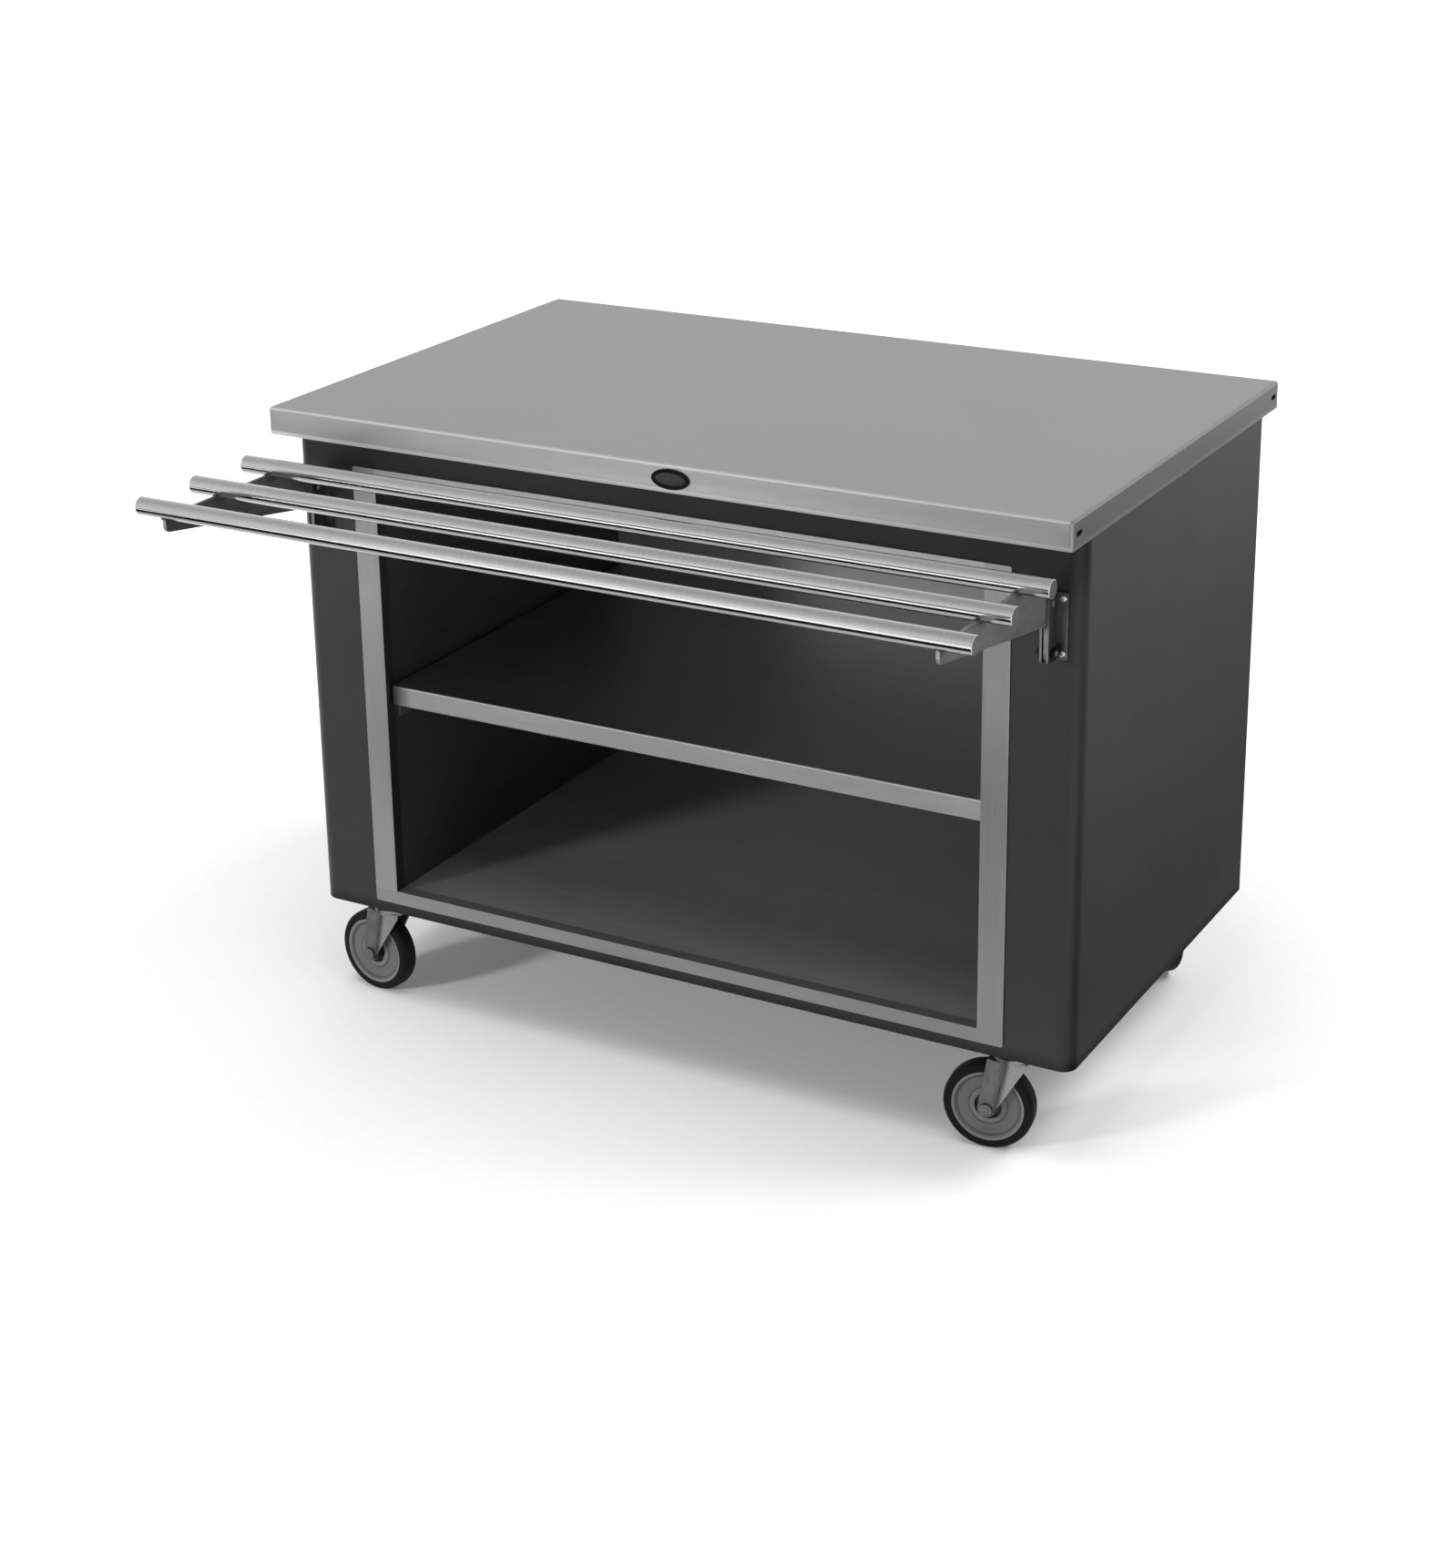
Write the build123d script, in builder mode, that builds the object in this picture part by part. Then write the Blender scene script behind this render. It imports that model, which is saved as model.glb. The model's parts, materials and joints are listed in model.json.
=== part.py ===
from build123d import *
import os
from math import acos, atan2, cos, radians, sin

# Mobile serving line utility stand: a stainless worktop on a one-piece moulded body with an
# open front, a mid shelf, a fold-down three-tube tray slide and four swivel casters.
# Millimetres. +X is right seen from the front, the front faces -Y, Z is up from the floor.

# Worktop
worktop_width = 1219.2
worktop_depth = 762.0
worktop_height = 928.0
worktop_edge = 39.0
worktop_gauge = 2.0
worktop_bend = 4.0
worktop_corner = 5.0
worktop_hem = 20.0
slot_length = 18.0
slot_height = 6.5
slot_inset = 21.0
slot_drop = 19.5
stiffener_inset = 309.6
stiffener_crown = 70.0
stiffener_lip = 20.0
stiffener_gauge = 1.5
stiffener_end_gap = 3.0

# Badge, a plain oval plate on the worktop's front edge
badge_width = 57.0
badge_height = 28.0
badge_thickness = 2.5
badge_rim = 3.0
badge_sink = 0.8
badge_x = 46.0
badge_drop = 20.0

# Moulded body
front_overhang = 54.0
rear_overhang = 48.0
end_overhang = 4.0
body_wall = 5.0
body_front_radius = 20.0
body_rear_radius = 8.0
body_base_radius = 2.5
body_skirt = 3.5
body_rim = 40.0

# Trim frame round the open front
frame_margin = 97.6
frame_top_drop = 86.5
frame_stile = 38.0
frame_top_rail = 32.0
frame_bottom_rail = 20.5
frame_gauge = 2.0
frame_return_gauge = 1.5
frame_return_depth = 18.0
frame_corner = 4.0
frame_edge_round = 0.8
opening_clearance = 0.5

# Cabinet liner, deck and shelf
liner_gauge = 1.5
liner_flange = 20.0
deck_gauge = 2.0
deck_side_gap = 2.0
deck_turndown_inset = 5.0
shelf_height = 512.0
shelf_edge = 29.0
shelf_gauge = 1.5
shelf_bend = 2.5
shelf_corner = 3.0
shelf_hem = 12.0
shelf_setback = 10.0
shelf_end_gap = 1.5
shelf_rear_gap = 3.0
cleat_leg = 25.0
cleat_gauge = 2.0
cleat_setback = 30.0

# Tray slide
tube_diameter = 25.4
tube_wall = 1.5
tube_pitch = 112.0
tube_drop = 68.5
tube_first_reach = 57.0
cap_thickness = 3.0
cap_round = 1.6
cap_spigot = 8.0
cap_fit = 0.05
arm_inset = 40.6
arm_gauge = 5.0
arm_saddle = 5.2
arm_saddle_fit = 0.05
arm_root_depth = 73.0
arm_nose_depth = 22.0
arm_nose_reach = 8.0
arm_nose_radius = 10.0
arm_boss_radius = 11.0
arm_inner_radius = 10.0
arm_heel_drop = 34.0
arm_heel_land = 8.0
arm_heel_radius = 6.0
pivot_standoff = 16.0
pivot_drop = 187.0
pivot_diameter = 8.0
pivot_fit = 0.08
pivot_head_flats = 13.0
pivot_head_height = 5.3
pivot_nut_height = 6.5
pivot_tail = 1.5
catch_rise = 65.0
catch_diameter = 8.0
catch_clearance = 0.5
catch_flare = 4.0
bracket_width = 38.0
bracket_height = 89.0
bracket_top_drop = 110.0
bracket_plate = 3.0
bracket_corner = 3.0
bracket_shift = 1.5
ear_gauge = 3.0
ear_gap = 6.0
ear_reach = 14.0
ear_corner = 6.0
screw_diameter = 5.0
screw_head_diameter = 9.0
screw_head_height = 3.0
screw_edge = 8.0
screw_side = 6.5
screw_tail = 4.0
screw_fit = 0.1

# Casters
wheel_diameter = 127.0
wheel_width = 28.0
tyre_inner_diameter = 102.0
tyre_round = 7.0
core_rim = 3.0
core_rim_slope = 4.5
core_rim_width = 26.0
core_disc_width = 19.0
core_collar = 5.5
core_collar_slope = 2.5
core_collar_width = 22.0
core_groove_diameter = 38.0
core_groove_width = 10.0
core_hub_diameter = 27.0
core_hub_width = 38.0
core_round = 1.5
bush_diameter = 15.0
bush_fit = 0.05
axle_diameter = 10.0
axle_fit = 0.05
axle_head_diameter = 19.0
axle_head_height = 4.0
caster_height = 155.0
caster_lead = 32.0
caster_end_inset = 97.6
caster_inset = 37.5
plate_length = 92.0
plate_width = 60.0
plate_thickness = 3.0
plate_corner = 6.0
race_diameter = 54.0
race_height = 6.0
race_taper = 12.0
race_gap = 1.0
dish_height = 4.5
dish_diameter = 58.0
dish_taper = 14.0
fork_gauge = 3.0
fork_gap = 40.0
fork_front = 22.0
fork_back = 31.0
fork_shoulder = 10.0
fork_crease = -4.0
fork_bend = 15.0
fork_boss_diameter = 23.0
kingpin_diameter = 12.0
kingpin_head_diameter = 22.0
kingpin_head_height = 4.0
kingpin_fit = 0.05
kingpin_sink = 0.2
bolt_diameter = 8.0
bolt_flats = 13.0
bolt_head_height = 4.0
bolt_pitch_long = 73.0
bolt_pitch_short = 44.5
bolt_fit = 0.25
bolt_tail = 1.5
nut_height = 6.5
nut_fit = 0.05
channel_width = 100.0
channel_gauge = 3.0
channel_height = 25.5
channel_end_gap = 2.0

# Swivel of each caster as it stands, degrees from trailing straight to the left
caster_swivel = {"front_left": -6.0, "front_right": 8.5, "rear_left": 6.0, "rear_right": -45.0}

# Levels and faces that the pieces share
tube_radius = tube_diameter / 2
wheel_radius = wheel_diameter / 2
tray_reach = tube_first_reach + 2 * tube_pitch + tube_radius
worktop_front_y = (tray_reach - worktop_depth) / 2
worktop_rear_y = worktop_front_y + worktop_depth
worktop_mid_y = (worktop_front_y + worktop_rear_y) / 2
body_front_y = worktop_front_y + front_overhang
body_rear_y = worktop_rear_y - rear_overhang
body_mid_y = (body_front_y + body_rear_y) / 2
body_depth = body_rear_y - body_front_y
body_width = worktop_width - 2 * end_overhang
frame_width = body_width - 2 * frame_margin
arm_spread = body_width / 2 - arm_inset
caster_spread = body_width / 2 - caster_end_inset
body_top_z = worktop_height - worktop_edge
body_base_z = caster_height
floor_z = body_base_z + body_wall
deck_underside = floor_z + channel_height
deck_height = deck_underside + deck_gauge
inner_front_y = body_front_y + body_wall
inner_rear_y = body_rear_y - body_wall
rim_bottom_z = body_top_z - body_wall
opening_half = frame_width / 2 - frame_stile
opening_bottom_z = deck_height + frame_return_gauge
opening_top_z = worktop_height - frame_top_drop - frame_top_rail
frame_bottom_z = opening_bottom_z - frame_bottom_rail
frame_top_z = worktop_height - frame_top_drop
liner_half = opening_half + frame_return_gauge
tube_z = worktop_height - tube_drop
tube_y = [worktop_front_y - tube_first_reach - i * tube_pitch for i in range(3)]
pivot_y = body_front_y - pivot_standoff
pivot_z = worktop_height - pivot_drop
catch_z = pivot_z + catch_rise
ear_offset = (ear_gap + ear_gauge) / 2

front_plane = Plane(origin=(0, body_front_y, 0), x_dir=(1, 0, 0), z_dir=(0, -1, 0))
sides = {"left": -1, "right": 1}

os.makedirs("parts", exist_ok=True)


def save(builder, name):
    builder.part.label = name
    export_step(builder.part, f"parts/{name}.step")


def cross_plane(x):
    """Plane across the stand at x, with its own x along Y and its own y along Z."""
    return Plane.YZ.offset(x)


def pan(width, depth, edge, gauge, bend, corner, hem, middle_y, top_z):
    """A sheet with all four edges turned down and hemmed inwards."""
    with BuildPart() as sheet:
        with BuildSketch(Plane.XY.offset(top_z)):
            with Locations((0, middle_y)):
                RectangleRounded(width, depth, corner)
        extrude(amount=-edge)
        fillet(sheet.faces().sort_by(Axis.Z)[-1].edges(), bend)
        offset(amount=-gauge, openings=sheet.faces().sort_by(Axis.Z)[0])
        with BuildSketch(Plane.XY.offset(top_z - edge)):
            with Locations((0, middle_y)):
                RectangleRounded(width, depth, corner)
                Rectangle(width - 2 * hem, depth - 2 * hem, mode=Mode.SUBTRACT)
        extrude(amount=gauge)
    return sheet


# Worktop, with a line-up slot near the front and the rear of each end
worktop_pan = pan(worktop_width, worktop_depth, worktop_edge, worktop_gauge, worktop_bend,
                  worktop_corner, worktop_hem, worktop_mid_y, worktop_height)
with BuildPart() as worktop:
    add(worktop_pan.part)
    for side in sides.values():
        with BuildSketch(cross_plane(side * worktop_width / 2)):
            with Locations((worktop_mid_y, worktop_height - slot_drop)):
                with GridLocations(worktop_depth - 2 * slot_inset, 0, 2, 1):
                    SlotOverall(slot_length, slot_height)
        extrude(amount=2 * worktop_gauge, both=True, mode=Mode.SUBTRACT)
save(worktop, "worktop")

# Hat-section stiffeners under the worktop, standing on the body's rim
stiffener_spread = worktop_width / 2 - stiffener_inset
stiffener_height = worktop_edge - worktop_gauge
stiffener_front_y = worktop_front_y + worktop_hem + stiffener_end_gap
stiffener_rear_y = worktop_rear_y - worktop_hem - stiffener_end_gap
for side_name, side in sides.items():
    with BuildPart() as stiffener:
        with BuildSketch(Plane.XZ.offset(-stiffener_front_y)):
            with Locations((side * stiffener_spread, body_top_z)):
                Rectangle(stiffener_crown, stiffener_height, align=(Align.CENTER, Align.MIN))
                with Locations((0, stiffener_gauge)):
                    Rectangle(stiffener_crown - 2 * stiffener_gauge, stiffener_height - stiffener_gauge,
                              align=(Align.CENTER, Align.MIN), mode=Mode.SUBTRACT)
                for lip in (-1, 1):
                    with Locations((lip * (stiffener_crown + stiffener_lip) / 2, stiffener_height)):
                        Rectangle(stiffener_lip, stiffener_gauge, align=(Align.CENTER, Align.MAX))
        extrude(amount=stiffener_front_y - stiffener_rear_y)
    save(stiffener, f"worktop_stiffener_{side_name}")

# Badge plate with a raised rim
with BuildPart() as badge_plate:
    badge_face = Plane(origin=(badge_x, worktop_front_y, worktop_height - badge_drop),
                       x_dir=(1, 0, 0), z_dir=(0, -1, 0))
    with BuildSketch(badge_face):
        Ellipse(badge_width / 2, badge_height / 2)
    extrude(amount=badge_thickness)
    with BuildSketch(badge_face.offset(badge_thickness)):
        Ellipse(badge_width / 2 - badge_rim, badge_height / 2 - badge_rim)
    extrude(amount=-badge_sink, mode=Mode.SUBTRACT)
save(badge_plate, "badge_plate")


def body_plan(sketch):
    """Draws the body's outline seen from above: rounder corners at the front than at the rear."""
    with Locations((0, body_mid_y)):
        Rectangle(body_width, body_depth)
    fillet(sketch.vertices().group_by(Axis.Y)[0], body_front_radius)
    fillet(sketch.vertices().group_by(Axis.Y)[-1], body_rear_radius)


caster_points = {}
for row, row_y in (("front", body_front_y + caster_inset), ("rear", body_rear_y - caster_inset)):
    for side_name, side in sides.items():
        caster_points[f"{row}_{side_name}"] = (side * caster_spread, row_y)
bracket_x = arm_spread + bracket_shift
bracket_top_z = worktop_height - bracket_top_drop
bracket_mid_z = bracket_top_z - bracket_height / 2
screw_points = []
for side in sides.values():
    for column in (-1, 1):
        for row in (-1, 1):
            across = side * bracket_x + column * (bracket_width / 2 - screw_side)
            screw_points.append((across, bracket_mid_z + row * (bracket_height / 2 - screw_edge)))
bolt_points = []
for x, y in caster_points.values():
    for column in (-1, 1):
        for row in (-1, 1):
            bolt_points.append((x + column * bolt_pitch_long / 2, y + row * bolt_pitch_short / 2))

# Body: one moulded tub with an inward rim and a skirt that hangs below its floor, cut out at the front
with BuildPart() as body_shell:
    skirt_z = body_base_z - body_skirt
    with BuildSketch(Plane.XY.offset(skirt_z)) as footprint:
        body_plan(footprint)
    extrude(amount=body_top_z - skirt_z)
    fillet(body_shell.faces().sort_by(Axis.Z)[0].edges(), body_base_radius)
    for hollow_z, hollow_height in ((skirt_z, body_skirt), (floor_z, body_top_z - floor_z)):
        with BuildSketch(Plane.XY.offset(hollow_z)) as hollow:
            body_plan(hollow)
            offset(amount=-body_wall, mode=Mode.REPLACE)
        extrude(amount=hollow_height, mode=Mode.SUBTRACT)
    with BuildSketch(Plane.XY.offset(body_top_z)) as rim:
        body_plan(rim)
        with Locations((0, body_mid_y)):
            Rectangle(body_width - 2 * body_rim, body_depth - 2 * body_rim, mode=Mode.SUBTRACT)
    extrude(amount=-body_wall)
    cut_top_z = opening_top_z + frame_return_gauge + opening_clearance
    with BuildSketch(front_plane):
        with Locations((0, deck_height)):
            Rectangle(2 * (liner_half + opening_clearance), cut_top_z - deck_height,
                      align=(Align.CENTER, Align.MIN))
        with Locations(*screw_points):
            Circle(screw_diameter / 2 + screw_fit)
    extrude(amount=-2 * body_wall, mode=Mode.SUBTRACT)
    with BuildSketch(Plane.XY.offset(body_base_z)):
        with Locations(*bolt_points):
            Circle(bolt_diameter / 2 + bolt_fit)
    extrude(amount=2 * body_wall, mode=Mode.SUBTRACT)
save(body_shell, "body_shell")

# Trim frame: a flat ring on the body's face with its inner edge returned into the opening
with BuildPart() as trim_frame:
    with BuildSketch(front_plane):
        with Locations((0, frame_bottom_z)):
            outline = Rectangle(frame_width, frame_top_z - frame_bottom_z, align=(Align.CENTER, Align.MIN))
        fillet(outline.vertices(), frame_corner)
        with Locations((0, opening_bottom_z)):
            Rectangle(2 * opening_half, opening_top_z - opening_bottom_z,
                      align=(Align.CENTER, Align.MIN), mode=Mode.SUBTRACT)
    extrude(amount=frame_gauge)
    fillet(trim_frame.faces().sort_by(Axis.Y)[0].edges(), frame_edge_round)
    with BuildSketch(front_plane):
        with Locations((0, deck_height)):
            Rectangle(2 * liner_half, opening_top_z - opening_bottom_z + 2 * frame_return_gauge,
                      align=(Align.CENTER, Align.MIN))
        with Locations((0, opening_bottom_z)):
            Rectangle(2 * opening_half, opening_top_z - opening_bottom_z,
                      align=(Align.CENTER, Align.MIN), mode=Mode.SUBTRACT)
    extrude(amount=-frame_return_depth)
save(trim_frame, "trim_frame")

# Liner: flanged side panels and a back panel inside the body
for side_name, side in sides.items():
    with BuildPart() as side_panel:
        with BuildSketch(Plane.XZ.offset(-inner_front_y)):
            with Locations((side * (liner_half + liner_gauge / 2), deck_height)):
                Rectangle(liner_gauge, rim_bottom_z - deck_height, align=(Align.CENTER, Align.MIN))
            flange_x = side * (liner_half + liner_flange / 2)
            with Locations((flange_x, deck_height + liner_gauge / 2), (flange_x, rim_bottom_z - liner_gauge / 2)):
                Rectangle(liner_flange, liner_gauge)
        extrude(amount=inner_front_y - inner_rear_y)
    save(side_panel, f"side_panel_{side_name}")

with BuildPart() as back_panel:
    with BuildSketch(Plane.XZ.offset(-inner_rear_y)):
        with Locations((0, deck_height)):
            Rectangle(2 * liner_half, rim_bottom_z - deck_height, align=(Align.CENTER, Align.MIN))
    extrude(amount=liner_gauge)
save(back_panel, "back_panel")

# Bottom deck: a sheet on the caster channels, turned down to the moulded floor between them
deck_half = caster_spread + channel_width / 2
turndown_half = caster_spread - channel_width / 2 - deck_side_gap
with BuildPart() as bottom_deck:
    with BuildSketch(Plane.XY.offset(deck_underside)):
        with Locations((0, body_mid_y)):
            Rectangle(2 * deck_half, inner_rear_y - inner_front_y)
    extrude(amount=deck_gauge)
    with BuildSketch(Plane.XY.offset(floor_z)):
        with Locations((0, inner_front_y + deck_turndown_inset), (0, inner_rear_y - deck_turndown_inset)):
            Rectangle(2 * turndown_half, deck_gauge)
    extrude(amount=channel_height)
save(bottom_deck, "bottom_deck")

# Channels along each end of the floor that the casters bolt through
for side_name, side in sides.items():
    with BuildPart() as caster_channel:
        with BuildSketch(Plane.XZ.offset(-inner_front_y - channel_end_gap)):
            with Locations((side * caster_spread, floor_z)):
                Rectangle(channel_width, channel_height, align=(Align.CENTER, Align.MIN))
                with Locations((0, channel_gauge)):
                    Rectangle(channel_width - 2 * channel_gauge, channel_height,
                              align=(Align.CENTER, Align.MIN), mode=Mode.SUBTRACT)
        extrude(amount=inner_front_y - inner_rear_y + 2 * channel_end_gap)
        with BuildSketch(Plane.XY.offset(floor_z)):
            with Locations(*[point for point in bolt_points if point[0] * side > 0]):
                Circle(bolt_diameter / 2 + bolt_fit)
        extrude(amount=2 * channel_gauge, mode=Mode.SUBTRACT)
    save(caster_channel, f"caster_channel_{side_name}")

# Mid shelf and the angle cleats that it sits on
shelf_front_y = body_front_y + shelf_setback
shelf_rear_y = inner_rear_y - liner_gauge - shelf_rear_gap
mid_shelf = pan(2 * (opening_half - shelf_end_gap), shelf_rear_y - shelf_front_y, shelf_edge, shelf_gauge,
                shelf_bend, shelf_corner, shelf_hem, (shelf_front_y + shelf_rear_y) / 2, shelf_height)
save(mid_shelf, "mid_shelf")

cleat_top_z = shelf_height - shelf_edge
cleat_front_y = body_front_y + cleat_setback
for side_name, side in sides.items():
    with BuildPart() as shelf_cleat:
        with BuildSketch(Plane.XZ.offset(-cleat_front_y)):
            with Locations((side * (liner_half - cleat_gauge / 2), cleat_top_z)):
                Rectangle(cleat_gauge, cleat_leg, align=(Align.CENTER, Align.MAX))
            with Locations((side * (liner_half - cleat_leg / 2), cleat_top_z)):
                Rectangle(cleat_leg, cleat_gauge, align=(Align.CENTER, Align.MAX))
        extrude(amount=cleat_front_y - shelf_rear_y)
    save(shelf_cleat, f"shelf_cleat_{side_name}")

# Wall brackets of the tray slide: a plate with two ears, the arm's pivot low and its catch high
for side_name, side in sides.items():
    with BuildPart() as tray_bracket:
        with BuildSketch(front_plane):
            with Locations((side * bracket_x, bracket_mid_z)):
                RectangleRounded(bracket_width, bracket_height, bracket_corner)
            with Locations(*[point for point in screw_points if point[0] * side > 0]):
                Circle(screw_diameter / 2 + screw_fit, mode=Mode.SUBTRACT)
        extrude(amount=bracket_plate)
        for ear in (-1, 1):
            with BuildSketch(cross_plane(side * arm_spread + ear * ear_offset)) as ear_face:
                with Locations((body_front_y - bracket_plate, bracket_mid_z)):
                    ear_depth = pivot_standoff - bracket_plate + ear_reach
                    Rectangle(ear_depth, bracket_height, align=(Align.MAX, Align.CENTER))
                fillet(ear_face.vertices().group_by(Axis.X)[0], ear_corner)
                with Locations((pivot_y, pivot_z)):
                    Circle(pivot_diameter / 2 + pivot_fit, mode=Mode.SUBTRACT)
                with Locations((pivot_y, catch_z)):
                    Circle(catch_diameter / 2 + pivot_fit, mode=Mode.SUBTRACT)
            extrude(amount=ear_gauge / 2, both=True)
    save(tray_bracket, f"tray_bracket_{side_name}")

ears_half = ear_gap / 2 + ear_gauge
with BuildPart() as catch_pins:
    for side in sides.values():
        with BuildSketch(cross_plane(side * arm_spread)):
            with Locations((pivot_y, catch_z)):
                Circle(catch_diameter / 2)
        extrude(amount=ears_half, both=True)
save(catch_pins, "catch_pins")

with BuildPart() as bracket_screws:
    with BuildSketch(front_plane.offset(bracket_plate)):
        with Locations(*screw_points):
            Circle(screw_head_diameter / 2)
    extrude(amount=screw_head_height)
    fillet(bracket_screws.faces().group_by(Axis.Y)[0].edges(), screw_head_height / 2)
    with BuildSketch(front_plane.offset(bracket_plate)):
        with Locations(*screw_points):
            Circle(screw_diameter / 2)
    extrude(amount=-(bracket_plate + body_wall + screw_tail))
save(bracket_screws, "bracket_screws")

with BuildPart() as pivot_bolts:
    for side in sides.values():
        outer_face_x = side * (arm_spread + ears_half)
        with BuildSketch(cross_plane(outer_face_x)):
            with Locations((pivot_y, pivot_z)):
                RegularPolygon(pivot_head_flats / 2, 6, major_radius=False)
        extrude(amount=side * pivot_head_height)
        with BuildSketch(cross_plane(outer_face_x)):
            with Locations((pivot_y, pivot_z)):
                Circle(pivot_diameter / 2)
        extrude(amount=-side * (2 * ears_half + pivot_nut_height + pivot_tail))
save(pivot_bolts, "pivot_bolts")

with BuildPart() as pivot_nuts:
    for side in sides.values():
        with BuildSketch(cross_plane(side * (arm_spread - ears_half))):
            with Locations((pivot_y, pivot_z)):
                RegularPolygon(pivot_head_flats / 2, 6, major_radius=False)
                Circle(pivot_diameter / 2 + nut_fit, mode=Mode.SUBTRACT)
        extrude(amount=-side * pivot_nut_height)
save(pivot_nuts, "pivot_nuts")

# Arms of the tray slide: tapered plates with a leg down to the pivot, saddles for the tubes and
# a flared notch at the back that drops off the catch pin as the arm swings down
arm_top_z = tube_z - tube_radius + arm_saddle
arm_heel_y = pivot_y + arm_boss_radius
arm_heel_z = arm_top_z - arm_heel_drop
arm_land_y = tube_y[0] + tube_radius + arm_heel_land
arm_leg_y = pivot_y - arm_boss_radius
arm_tip_y = tube_y[2] - arm_nose_reach
notch_half = catch_diameter / 2 + catch_clearance
for side_name, side in sides.items():
    with BuildPart() as tray_arm:
        with BuildSketch(cross_plane(side * arm_spread)):
            with BuildLine():
                Polyline((arm_heel_y, pivot_z), (arm_heel_y, arm_heel_z), (arm_land_y, arm_top_z),
                         (arm_tip_y, arm_top_z), (arm_tip_y, arm_top_z - arm_nose_depth),
                         (arm_leg_y, arm_top_z - arm_root_depth), (arm_leg_y, pivot_z))
                ThreePointArc((arm_leg_y, pivot_z), (pivot_y, pivot_z - arm_boss_radius), (arm_heel_y, pivot_z))
            make_face()
        extrude(amount=arm_gauge / 2, both=True)
        long_edges = tray_arm.edges().filter_by(Axis.X)
        nose_edge = long_edges.sort_by_distance((side * arm_spread, arm_tip_y, arm_top_z - arm_nose_depth))[0]
        fillet(nose_edge, arm_nose_radius)
        long_edges = tray_arm.edges().filter_by(Axis.X)
        inner_edge = long_edges.sort_by_distance((side * arm_spread, arm_leg_y, arm_top_z - arm_root_depth))[0]
        fillet(inner_edge, arm_inner_radius)
        long_edges = tray_arm.edges().filter_by(Axis.X)
        heel_edge = long_edges.sort_by_distance((side * arm_spread, arm_heel_y, arm_heel_z))[0]
        fillet(heel_edge, arm_heel_radius)
        with BuildSketch(cross_plane(side * arm_spread)):
            with Locations(*[(y, tube_z) for y in tube_y]):
                Circle(tube_radius + arm_saddle_fit)
            with Locations((pivot_y, pivot_z)):
                Circle(pivot_diameter / 2 + pivot_fit)
            with Locations((pivot_y, catch_z)):
                Circle(notch_half)
            with BuildLine():
                mouth_y = arm_heel_y + arm_boss_radius
                Polyline((pivot_y, catch_z - notch_half), (pivot_y, catch_z + notch_half),
                         (mouth_y, catch_z + notch_half), (mouth_y, catch_z - notch_half - 2 * catch_flare),
                         close=True)
            make_face()
        extrude(amount=arm_gauge, both=True, mode=Mode.SUBTRACT)
    save(tray_arm, f"tray_arm_{side_name}")

# Tray tubes and their end caps
tube_length = worktop_width - 2 * cap_thickness
for tube_name, y in zip(("inner", "middle", "outer"), tube_y):
    with BuildPart() as tray_tube:
        with BuildSketch(cross_plane(0)):
            with Locations((y, tube_z)):
                Circle(tube_radius)
                Circle(tube_radius - tube_wall, mode=Mode.SUBTRACT)
        extrude(amount=tube_length / 2, both=True)
    save(tray_tube, f"tray_tube_{tube_name}")

with BuildPart() as tube_caps:
    for side in sides.values():
        with BuildSketch(cross_plane(side * tube_length / 2)):
            with Locations(*[(y, tube_z) for y in tube_y]):
                Circle(tube_radius)
        extrude(amount=side * cap_thickness)
    ends = tube_caps.faces().group_by(Axis.X)
    fillet(ends[0].edges() + ends[-1].edges(), cap_round)
    for side in sides.values():
        with BuildSketch(cross_plane(side * tube_length / 2)):
            with Locations(*[(y, tube_z) for y in tube_y]):
                Circle(tube_radius - tube_wall - cap_fit)
        extrude(amount=-side * cap_spigot)
save(tube_caps, "tube_caps")

# Casters
plate_bottom_z = caster_height - plate_thickness
race_bottom_z = plate_bottom_z - race_height
dish_top_z = race_bottom_z - race_gap
fork_top_z = dish_top_z - dish_height
fork_crown_z = fork_top_z - fork_gauge
kingpin_head_z = fork_crown_z - kingpin_fit
channel_web_top = floor_z + channel_gauge

with BuildPart() as caster_bolts:
    with BuildSketch(Plane.XY.offset(plate_bottom_z)):
        with Locations(*bolt_points):
            RegularPolygon(bolt_flats / 2, 6, major_radius=False)
    extrude(amount=-bolt_head_height)
    with BuildSketch(Plane.XY.offset(plate_bottom_z)):
        with Locations(*bolt_points):
            Circle(bolt_diameter / 2)
    extrude(amount=channel_web_top + nut_height + bolt_tail - plate_bottom_z)
save(caster_bolts, "caster_bolts")

with BuildPart() as caster_nuts:
    with BuildSketch(Plane.XY.offset(channel_web_top)):
        with Locations(*bolt_points):
            RegularPolygon(bolt_flats / 2, 6, major_radius=False)
            Circle(bolt_diameter / 2 + nut_fit, mode=Mode.SUBTRACT)
    extrude(amount=nut_height)
save(caster_nuts, "caster_nuts")

# Crease of a fork's leg, from the crown to where it meets the round end, in the leg's own plane
bend = radians(fork_bend)
boss_centre = Vector(-caster_lead, wheel_radius)
crease_top = Vector(fork_crease, fork_top_z)
crease_slant = atan2(crease_top.Y - boss_centre.Y, crease_top.X - boss_centre.X)
crease_foot_angle = crease_slant - acos(fork_boss_diameter / 2 / (crease_top - boss_centre).length)
crease_foot = boss_centre + Vector(cos(crease_foot_angle), sin(crease_foot_angle)) * (fork_boss_diameter / 2)
crease_length = (crease_foot - crease_top).length
crease_way = (crease_foot - crease_top).normalized()
crease_normal = Vector(-crease_way.Y, crease_way.X)
flap_corners = [Vector(fork_front, fork_top_z - fork_shoulder), Vector(fork_front, fork_top_z)]
flap_points = [((corner - crease_top).dot(crease_way), (corner - crease_top).dot(crease_normal))
               for corner in flap_corners]

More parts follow.
